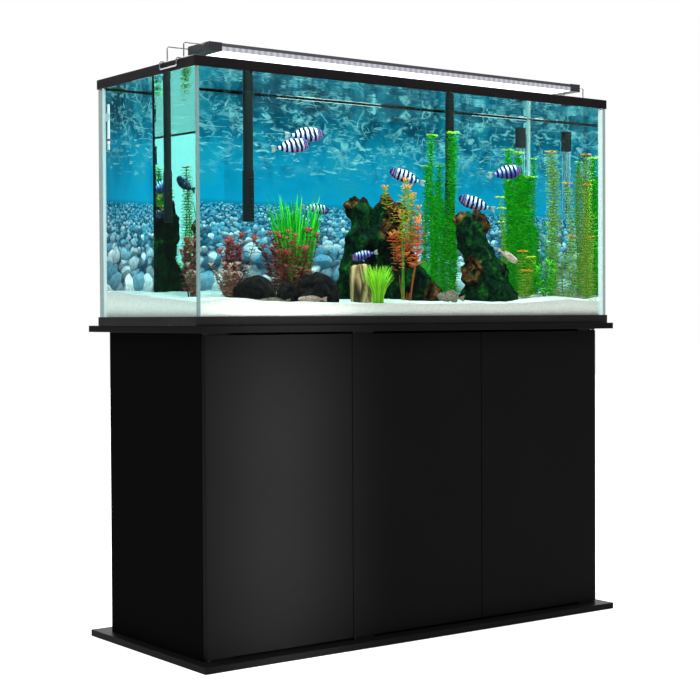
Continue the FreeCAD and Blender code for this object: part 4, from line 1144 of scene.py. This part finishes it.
left_cuts = [
    ((-0.060, -0.075, 0.905), -0.040),
    ((0.012, -0.066, 0.990), -0.018),
    ((0.130, -0.115, 0.797), -0.020),
    ((-0.112, -0.016, 1.035), 0.036),
    ((-0.060, -0.016, 1.045), 0.03),
    ((0.040, -0.045, 1.005), 0.060),
    ((-0.008, -0.014, 1.045), 0.035),
    ((0.118, -0.105, 0.80), 0.055),
    ((0.000, -0.062, 0.96), 0.040),
]
give(
    make_wood("driftwood_stump", "driftwood_left", left_limbs, left_cuts, 0.0045, 0.010, 4),
    driftwood_material,
)
right_limbs = [
    ([(0.325, -0.07, 0.775), (0.300, -0.065, 0.85), (0.262, -0.06, 0.92), (0.232, -0.056, 0.985)], [0.066, 0.050, 0.040, 0.038]),
    ([(0.262, -0.06, 0.78), (0.290, -0.062, 0.85), (0.285, -0.06, 0.90)], [0.046, 0.040, 0.036]),
    ([(0.232, -0.056, 0.98), (0.205, -0.056, 1.005)], [0.030, 0.020]),
    ([(0.242, -0.056, 0.96), (0.292, -0.056, 1.000)], [0.034, 0.026]),
    ([(0.246, -0.07, 0.85), (0.226, -0.08, 0.875)], [0.024, 0.018]),
    ([(0.35, -0.07, 0.785), (0.395, -0.075, 0.790)], [0.036, 0.024]),
]
right_cuts = [
    ((0.236, -0.105, 0.862), -0.014),
    ((0.296, -0.07, 0.995), 0.052),
    ((0.205, -0.056, 1.005), 0.03),
    ((0.228, -0.09, 0.87), 0.04),
    ((0.398, -0.085, 0.79), 0.03),
]
give(
    make_wood("driftwood_branch", "driftwood_right", right_limbs, right_cuts, 0.0045, 0.010, 9),
    driftwood_material,
)
log_limbs = [([(-0.122, -0.122, 0.77), (-0.125, -0.120, 0.82), (-0.131, -0.118, 0.874)], [0.031, 0.029, 0.024])]
give(make_wood("striped_log", "driftwood_log", log_limbs, [], 0.003, 0.003, 6), log_finish())

# Plants ------------------------------------------------------------------------------------------


def swaying(x, y, foot, top, lean, seed, steps=14):
    """The line of a stem that sways a little on its way up."""
    line = []
    for i in range(steps + 1):
        t = i / steps
        dx = lean[0] * t + 0.006 * math.sin(seed + 5 * t) * t
        dy = lean[1] * t + 0.006 * math.cos(seed * 1.3 + 4 * t) * t
        line.append(Vector((x + dx, y + dy, foot + (top - foot) * t)))
    return line


def along_line(line, t):
    where = t * (len(line) - 1)
    i = min(int(where), len(line) - 2)
    return line[i].lerp(line[i + 1], where - i)


def column(build, rng, x, y, top, radius, pitch=0.0062, count=12, rise=(0.35, 0.8), width=0.50,
           tones=(0.15, 0.6), crown=0.0, crown_tone=1.0, lean=(0, 0), thin=1.0, foot=None):
    """A stem thick with whorls of leaves that point up and out, and a flat crown on top."""
    foot = sand_level(x, y) - 0.01 if foot is None else foot
    line = swaying(x, y, foot, top, lean, rng.uniform(0, 6))
    build.tube(line, [0.0018] * len(line), sides=5, value=tones[0])
    up = Vector((0, 0, 1))
    for w in range(int((top - foot - 0.012) / pitch)):
        t = (0.012 + w * pitch) / (top - foot)
        centre = along_line(line, t)
        turn = rng.uniform(0, 2 * math.pi)
        reach = radius * rng.uniform(0.88, 1.12)
        for k in range(count):
            if rng.random() > thin:
                continue
            angle = turn + 2 * math.pi * (k + rng.uniform(-0.2, 0.2)) / count
            out = Vector((math.cos(angle), math.sin(angle), rng.uniform(*rise)))
            tone = rng.uniform(*tones)
            long = reach * 1.2 * rng.uniform(0.85, 1.1)
            build.leaf(centre, out, up, long, reach * width, 0.0008, value=tone, droop=0.22, steps=2)
    if crown:
        for ring, share in ((24, 1.0), (14, 0.6)):
            for k in range(ring):
                angle = 2 * math.pi * (k + rng.uniform(-0.3, 0.3)) / ring
                out = Vector((math.cos(angle), math.sin(angle), rng.uniform(0.25, 0.55) / share))
                long = crown * share * rng.uniform(0.85, 1.1)
                tone = crown_tone * rng.uniform(0.88, 1.0)
                build.leaf(line[-1], out, up, long, crown * 0.36, 0.0009, value=tone, droop=0.3, steps=2)


def blades(build, rng, x, y, count, spread, height, width, splay, tones):
    """A tuft of grass blades that bend outwards."""
    for n in range(count):
        angle = rng.uniform(0, 2 * math.pi)
        radius = spread * math.sqrt(rng.random())
        px, py = x + radius * math.cos(angle), y + radius * math.sin(angle) * 0.6
        foot = sand_level(px, py) - 0.004
        tall = height * rng.uniform(0.62, 1.0)
        out = Vector((math.cos(angle), math.sin(angle) * 0.6, 0)) * splay * rng.uniform(0.3, 1.2)
        wide = width * rng.uniform(0.7, 1.15)
        facing = Vector((rng.uniform(-0.6, 0.6), -1, 0)).normalized()
        side = facing.cross(Vector((0, 0, 1))).normalized()
        steps = 7
        points, faces = [], []
        for i in range(steps + 1):
            t = i / steps
            centre = Vector((px, py, foot)) + Vector((0, 0, tall * (t - 0.10 * t * t))) + out * (t**2.2)
            half = wide / 2 * (1 - t**3) * (0.7 + 0.3 * math.sin(math.pi * min(1, t * 1.3))) + 0.0002
            points += [centre - side * half, centre + facing * 0.0004, centre + side * half, centre - facing * 0.0004]
        for i in range(steps):
            a, b = 4 * i, 4 * (i + 1)
            for k in range(4):
                faces.append((a + k, b + k, b + (k + 1) % 4, a + (k + 1) % 4))
        faces += [(0, 1, 2, 3), tuple(4 * steps + k for k in (3, 2, 1, 0))]
        build.add(points, faces, rng.uniform(*tones))


def leafy_stems(build, rng, x, y, stems, spread, top, leaf_long, leaf_wide, pairs, tones, lean=0.03, ball=0.6, bare=0.12):
    """Branching stems with oval leaves in pairs."""
    for n in range(stems):
        angle = rng.uniform(0, 2 * math.pi)
        px = x + spread * 0.35 * math.cos(angle)
        py = y + spread * 0.35 * math.sin(angle)
        foot = sand_level(px, py) - 0.005
        tall = foot + (top - foot) * rng.uniform(0.62, 1.0)
        out = (math.cos(angle) * spread * 0.7 + rng.uniform(-lean, lean), math.sin(angle) * spread * 0.5)
        line = swaying(px, py, foot, tall, out, rng.uniform(0, 6), steps=10)
        build.tube(line, [0.0014 - 0.0007 * i / 10 for i in range(11)], sides=5, value=tones[0] * 0.7)
        for p in range(pairs):
            t = bare + (1 - bare) * (p + 0.5) / pairs
            centre = along_line(line, t)
            turn = p * 1.57 + rng.uniform(-0.4, 0.4)
            for side in (0, math.pi):
                way = Vector((math.cos(turn + side), math.sin(turn + side), rng.uniform(0.1, ball)))
                long = leaf_long * rng.uniform(0.7, 1.15) * (1.0 - 0.35 * t)
                build.leaf(centre, way, Vector((0, 0, 1)), long, long * leaf_wide, 0.0009, value=rng.uniform(*tones), droop=rng.uniform(-0.1, 0.35), cup=0.2, steps=4)
        for k in range(5):
            angle = 2 * math.pi * k / 5
            way = Vector((math.cos(angle), math.sin(angle), 1.1))
            build.leaf(line[-1], way, Vector((0, 0, 1)), leaf_long * 0.6, leaf_long * 0.28, 0.0009, value=tones[1], steps=3)


def planted(name, node, material, seed, grow):
    rng = random.Random(seed)
    build = Builder()
    grow(build, rng)
    piece = build.piece(name)
    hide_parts(node)
    return give(piece, material)


bright_green = leaf_finish("bright_leaf", (0.001, 0.13, 0.002), (0.004, 0.42, 0.006), (0.42, 0.80, 0.03), 0.34)
grass_green = leaf_finish("grass_leaf", (0.001, 0.14, 0.006), (0.004, 0.46, 0.015), (0.08, 0.74, 0.02), 0.26)
tuft_green = leaf_finish("tuft_leaf", (0.06, 0.34, 0.003), (0.20, 0.66, 0.006), (0.45, 0.85, 0.03), 0.12)
pale_green = leaf_finish("pale_leaf", (0.06, 0.22, 0.012), (0.32, 0.55, 0.06), (0.92, 0.26, 0.015), 0.24)
yellow_green = leaf_finish("yellow_leaf", (0.05, 0.26, 0.006), (0.30, 0.62, 0.02), (0.80, 0.90, 0.05), 0.12)
leafy_green = leaf_finish("round_leaf", (0.004, 0.20, 0.006), (0.02, 0.55, 0.02), (0.22, 0.80, 0.06), 0.12)
red_leaf = leaf_finish("red_leaf", (0.035, 0.020, 0.010), (0.25, 0.018, 0.020), (0.62, 0.10, 0.08), 0.08)
pink_leaf = leaf_finish("pink_leaf", (0.06, 0.12, 0.04), (0.36, 0.10, 0.09), (0.72, 0.45, 0.36), 0.10)
orange_leaf = leaf_finish("orange_leaf", (0.14, 0.10, 0.015), (0.70, 0.07, 0.025), (0.90, 0.26, 0.06), 0.12)
amber_leaf = leaf_finish("amber_leaf", (0.06, 0.30, 0.02), (0.34, 0.50, 0.04), (0.85, 0.28, 0.05), 0.12)


def left_columns(build, rng):
    column(build, rng, 0.190, 0.070, 1.208, 0.0150, crown=0.018, lean=(0.004, 0))
    column(build, rng, 0.183, 0.092, 1.129, 0.0145, crown=0.017, crown_tone=0.85)
    column(build, rng, 0.232, 0.088, 1.138, 0.0145, crown=0.017, crown_tone=0.7)
    column(build, rng, 0.246, 0.060, 1.216, 0.0170, crown=0.020, lean=(0.004, 0))
    for x, y, top in ((0.196, 0.062, 1.06), (0.212, 0.080, 1.09), (0.230, 0.070, 1.05), (0.262, 0.066, 1.00)):
        column(build, rng, x, y, top, 0.0165)


def dense_columns(build, rng):
    column(build, rng, 0.438, 0.046, 1.183, 0.0165, crown=0.020)
    column(build, rng, 0.464, 0.050, 1.178, 0.0165, crown=0.019)
    column(build, rng, 0.520, 0.052, 1.165, 0.0110, crown=0.013, crown_tone=0.8, thin=0.85)
    column(build, rng, 0.494, 0.028, 1.115, 0.0230, count=16, crown=0.027, crown_tone=0.95)
    for x, y, top in ((0.432, 0.036, 1.12), (0.456, 0.030, 1.13), (0.474, 0.040, 1.12), (0.446, 0.06, 1.10)):
        column(build, rng, x, y, top, 0.0190, count=14)
    for x, y, top in ((0.425, 0.030, 0.97), (0.470, 0.020, 0.97), (0.515, 0.020, 0.99), (0.49, 0.01, 0.95)):
        column(build, rng, x, y, top, 0.0190, count=14)


def slender_stems(build, rng):
    column(build, rng, 0.402, 0.030, 1.059, 0.0080, pitch=0.011, thin=0.8, crown=0.0150)
    column(build, rng, 0.394, 0.010, 1.030, 0.0095, pitch=0.013, thin=0.8, crown=0.0150)
    column(build, rng, 0.390, 0.000, 0.994, 0.0095, pitch=0.012, thin=0.8, crown=0.012)


def pale_columns(build, rng):
    loose = dict(pitch=0.0074, count=13, width=0.34, rise=(0.1, 0.5), tones=(0.2, 0.62), crown_tone=1.0)
    column(build, rng, 0.545, -0.030, 1.180, 0.0185, crown=0.018, **loose)
    column(build, rng, 0.552, -0.012, 1.150, 0.0180, **loose)
    column(build, rng, 0.538, -0.040, 1.030, 0.0185, **loose)
    column(build, rng, 0.572, -0.080, 1.098, 0.0125, crown=0.014, **loose)
    column(build, rng, 0.574, -0.095, 0.960, 0.0125, crown=0.014, **loose)
    column(build, rng, 0.556, -0.070, 0.920, 0.0190, **loose)


def low_orange(build, rng):
    loose = dict(count=12, width=0.27, rise=(0.2, 0.6), tones=(0.15, 0.6), crown_tone=1.0)
    column(build, rng, 0.419, -0.060, 0.919, 0.0140, pitch=0.0070, crown=0.0165, **loose)
    column(build, rng, 0.414, -0.085, 0.868, 0.0160, pitch=0.0070, crown=0.0180, **loose)


def low_yellow(build, rng):
    column(build, rng, 0.441, -0.062, 0.904, 0.0150, count=12, width=0.4, crown=0.0160)
    column(build, rng, 0.262, -0.020, 0.934, 0.0060, pitch=0.016, thin=0.7, crown=0.0140)


def orange_bush(build, rng):
    leafy_stems(build, rng, 0.022, -0.098, 9, 0.030, 1.008, 0.030, 0.62, 12, (0.3, 1.0), lean=0.010, bare=0.45)


def amber_bush(build, rng):
    leafy_stems(build, rng, 0.012, -0.082, 8, 0.046, 1.100, 0.027, 0.62, 18, (0.1, 0.95), lean=0.020, bare=0.55)


for name, node, slot, material, seed, grow in (
    ("whorled_columns", "green_plants", "green_leaf", bright_green, 13, left_columns),
    ("dense_columns", "green_plants", "green_leaf", bright_green, 14, dense_columns),
    ("slender_stems", "green_plants", "green_leaf", yellow_green, 23, slender_stems),
    ("pale_columns", "green_plants", "green_leaf", pale_green, 15, pale_columns),
    ("low_orange_tops", "green_plants", "green_leaf", pale_green, 16, low_orange),
    ("low_yellow_tops", "green_plants", "green_leaf", yellow_green, 24, low_yellow),
    ("orange_bush", "red_plants", "red_leaf", orange_leaf, 20, orange_bush),
    ("amber_bush", "red_plants", "red_leaf", amber_leaf, 21, amber_bush),
):
    planted(name, node, material, seed, grow)

# tufts of blades: place, count, spread, height, width, splay, tones
for name, material, seed, x, y, *shape in (
    ("tall_grass", grass_green, 11, -0.232, 0.045, 90, 0.036, 0.272, 0.0135, 0.046, (0.1, 0.8)),
    ("short_tuft", tuft_green, 12, -0.102, -0.172, 230, 0.015, 0.104, 0.0024, 0.032, (0.1, 0.9)),
    ("moss_clump", bright_green, 22, 0.105, 0.020, 260, 0.036, 0.105, 0.0055, 0.026, (0.2, 0.7)),
):
    planted(name, "green_plants", material, seed, lambda b, r: blades(b, r, x, y, *shape))

# leafy plants: place, stems, spread, top, leaf length, leaf width share, pairs, tones
for name, node, slot, material, seed, x, y, *shape in (
    ("round_leaves", "green_plants", "green_leaf", leafy_green, 17, 0.497, -0.078, 7, 0.030, 0.900, 0.019, 0.66, 12, (0.3, 0.9)),
    ("round_leaves_tall", "green_plants", "green_leaf", leafy_green, 25, 0.508, -0.060, 3, 0.022, 1.000, 0.014, 0.60, 20, (0.1, 0.7)),
    ("red_plant_left", "red_plants", "red_leaf", red_leaf, 18, -0.448, -0.052, 11, 0.036, 0.944, 0.025, 0.62, 14, (0.1, 0.9)),
    ("pink_plant_left", "red_plants", "red_leaf", pink_leaf, 26, -0.462, -0.080, 22, 0.030, 0.872, 0.017, 0.66, 9, (0.1, 1.0)),
    ("red_plant_middle", "red_plants", "red_leaf", red_leaf, 19, -0.288, -0.030, 20, 0.056, 0.958, 0.024, 0.62, 15, (0.1, 0.9)),
    ("olive_plant_middle", "red_plants", "red_leaf", pink_leaf, 27, -0.285, -0.070, 16, 0.040, 0.870, 0.018, 0.56, 8, (0.0, 0.5)),
):
    planted(name, node, material, seed, lambda b, r: leafy_stems(b, r, x, y, *shape))

# Fish --------------------------------------------------------------------------------------------


def fish_mesh(name, deep=0.135, thick=0.066, tail=0.095, fin=0.060, sides=20, rings=26):
    """A fish one unit long along X, head at +0.5, back towards +Z."""
    build = Builder()
    points, faces = [], []

    def half_height(t):
        """Half the depth of the body a share t of the way from the nose to the tail's root."""
        body = deep * math.sin(math.pi * min(1.0, (t + 0.012) ** 0.66)) ** 0.8 if t < 0.985 else 0
        return max(body, 0.014 + 0.022 * min(1.0, t / 0.5))

    for i in range(rings + 1):
        t = i / rings
        x = 0.5 - 0.80 * t
        half = half_height(t)
        wide = max(0.006, thick * (math.sin(math.pi * (t * 0.93 + 0.04) ** 0.6) ** 0.9))
        drop = -0.010 * math.sin(math.pi * t)
        for k in range(sides):
            angle = 2 * math.pi * k / sides
            points.append(Vector((x, wide * math.cos(angle), drop + half * math.sin(angle))))
    for i in range(rings):
        for k in range(sides):
            a, b = i * sides + k, i * sides + (k + 1) % sides
            faces.append((a, a + sides, b + sides, b))
    nose = len(points)
    points.append(Vector((0.508, 0, -0.004)))
    for k in range(sides):
        faces.append((nose, k, (k + 1) % sides))
    faces.append(tuple(reversed([rings * sides + k for k in range(sides)])))
    build.add(points, faces)

    def fin_sheet(outline, wide=0.0045):
        """A thin fin over a closed outline in the XZ plane."""
        near = [Vector((px, -wide / 2, pz)) for px, pz in outline]
        far = [Vector((px, wide / 2, pz)) for px, pz in outline]
        n = len(outline)
        sheets = [tuple(range(n)), tuple(reversed(range(n, 2 * n)))]
        rim = [(k, n + k, n + (k + 1) % n, (k + 1) % n) for k in range(n)]
        build.add(near + far, sheets + rim)

    fan = [(-0.27, 0.030)]
    for k in range(9):
        level = 1 - k / 4
        fan.append((-0.455 - 0.045 * abs(level) ** 1.5 + 0.05 * (abs(level) > 0.9), tail * level))
    fan += [(-0.27, -0.030)]
    fin_sheet(fan)
    dorsal, anal = [], []
    for k in range(13):
        share = k / 12
        x = 0.22 - 0.47 * share
        rise = (0.45 + 0.55 * share) * math.sin(math.pi * (0.06 + 0.88 * share)) ** 0.6
        dorsal.append((x, half_height((0.5 - x) / 0.8) * 0.92 + fin * rise))
        x = 0.00 - 0.24 * share
        rise = (0.5 + 0.5 * share) * math.sin(math.pi * (0.06 + 0.88 * share)) ** 0.6
        anal.append((x, -half_height((0.5 - x) / 0.8) * 0.92 - fin * 0.8 * rise))
    fin_sheet([(0.24, deep * 0.5)] + dorsal + [(-0.27, 0.01)])
    fin_sheet([(0.02, -deep * 0.5)] + anal + [(-0.26, -0.01)])
    pelvic = [(0.20, -deep * 0.75), (0.13, -deep * 1.1), (0.05, -deep * 1.55), (0.04, -deep * 1.3), (0.12, -deep * 0.7)]
    fin_sheet(pelvic)
    for side in (-1, 1):
        build.leaf(Vector((0.23, side * thick * 0.92, -0.02)), Vector((-0.8, side * 0.5, -0.25)), Vector((0, side, 0.2)), 0.15, 0.085, 0.004, steps=4)
    return build


def add_fish(name, place, length, heading, pitch, material, **shape):
    """heading is the way the head points, in degrees from +X towards +Y."""
    piece = fish_mesh(name, **shape).piece(name)
    piece.scale = (length,) * 3
    piece.rotation_euler = (0, math.radians(-pitch), math.radians(heading))
    piece.location = place
    soft = piece.modifiers.new("soft", "SUBSURF")
    soft.levels = soft.render_levels = 1
    return give(piece, material)


PALE_BODY = ((0.30, 0.14, 0.26), (0.30, 0.33, 0.60), (0.56, 0.62, 0.68))
BLUE_BODY = ((0.05, 0.04, 0.26), (0.05, 0.06, 0.34), (0.44, 0.50, 0.78))
striped = striped_fish("striped_fish", *PALE_BODY, 0.46)
blue_striped = striped_fish("blue_fish", *BLUE_BODY, 0.40)
bottom_kind = plain_fish("brown_fish", (0.34, 0.27, 0.20), (0.06, 0.04, 0.025))
pink_kind = plain_fish("pink_fish", (0.55, 0.38, 0.33), (0.24, 0.09, 0.06))
flat_fish = dict(deep=0.10, fin=0.06)
add_fish("fish_1", (-0.253, -0.05, 1.174), 0.118, 6, 6, striped)
add_fish("fish_2", (-0.301, -0.07, 1.143), 0.118, 8, 10, striped)
add_fish("fish_3", (-0.168, 0.062, 1.012), 0.086, 4, -4, striped)
add_fish("fish_4", (0.080, 0.00, 1.094), 0.112, 176, 15, striped)
add_fish("fish_5", (-0.121, -0.135, 0.898), 0.078, 174, -12, blue_striped)
add_fish("fish_6", (0.376, -0.03, 1.119), 0.126, 6, 10, blue_striped)
add_fish("fish_7", (0.292, -0.02, 1.036), 0.122, 176, 13, striped)
add_fish("fish_8", (0.368, -0.06, 0.908), 0.074, 0, -26, pink_kind)
add_fish("fish_9", (0.124, -0.165, 0.800), 0.092, 184, 4, bottom_kind, deep=0.12, fin=0.16)
add_fish("fish_10", (-0.395, -0.185, 0.789), 0.080, 170, 0, bottom_kind, **flat_fish)
add_fish("fish_11", (-0.290, -0.178, 0.794), 0.074, 150, 0, pink_kind, **flat_fish)

# Heater core and thermometer cup ------------------------------------------------------------------


def turned(name, profile, centre, axis, sides=24):
    """A lathed piece: profile holds (radius, distance along the axis) from end to end."""
    turn = Vector(axis).to_track_quat("Z", "Y")
    points, faces = [], []
    for radius, reach in profile:
        for k in range(sides):
            angle = 2 * math.pi * k / sides
            local = Vector((radius * math.cos(angle), radius * math.sin(angle), reach))
            points.append(Vector(centre) + turn @ local)
    for i in range(len(profile) - 1):
        for k in range(sides):
            a, b = i * sides + k, i * sides + (k + 1) % sides
            faces.append((a, b, b + sides, a + sides))
    last = (len(profile) - 1) * sides
    faces.append(tuple(reversed(range(sides))))
    faces.append(tuple(last + k for k in range(sides)))
    return mesh_piece(name, points, faces)


tube_low, tube_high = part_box("heater_tube")
tube_centre = (tube_low + tube_high) / 2
core_low, core_high = tube_low.z + 0.02, tube_high.z
core = turned(
    "heater_core",
    [(0.002, 0.0), (0.0035, 0.002), (0.0035, core_high - core_low)],
    (tube_centre.x, tube_centre.y, core_low),
    (0, 0, 1),
)
give(core, heater_core_finish())
cup_level = thermometer_low.z + 0.72 * (thermometer_high.z - thermometer_low.z)
cup_reach = thermometer_low.x - INNER_LOW.x
cup = turned(
    "thermometer_cup",
    [(0.0110, 0.0003), (0.0112, 0.0009), (0.0085, 0.0016), (0.0045, cup_reach + 0.001)],
    (INNER_LOW.x, (thermometer_low.y + thermometer_high.y) / 2, cup_level),
    (1, 0, 0),
)
give(cup, matte("cup_rubber", (0.62, 0.72, 0.80), 0.4, 60))
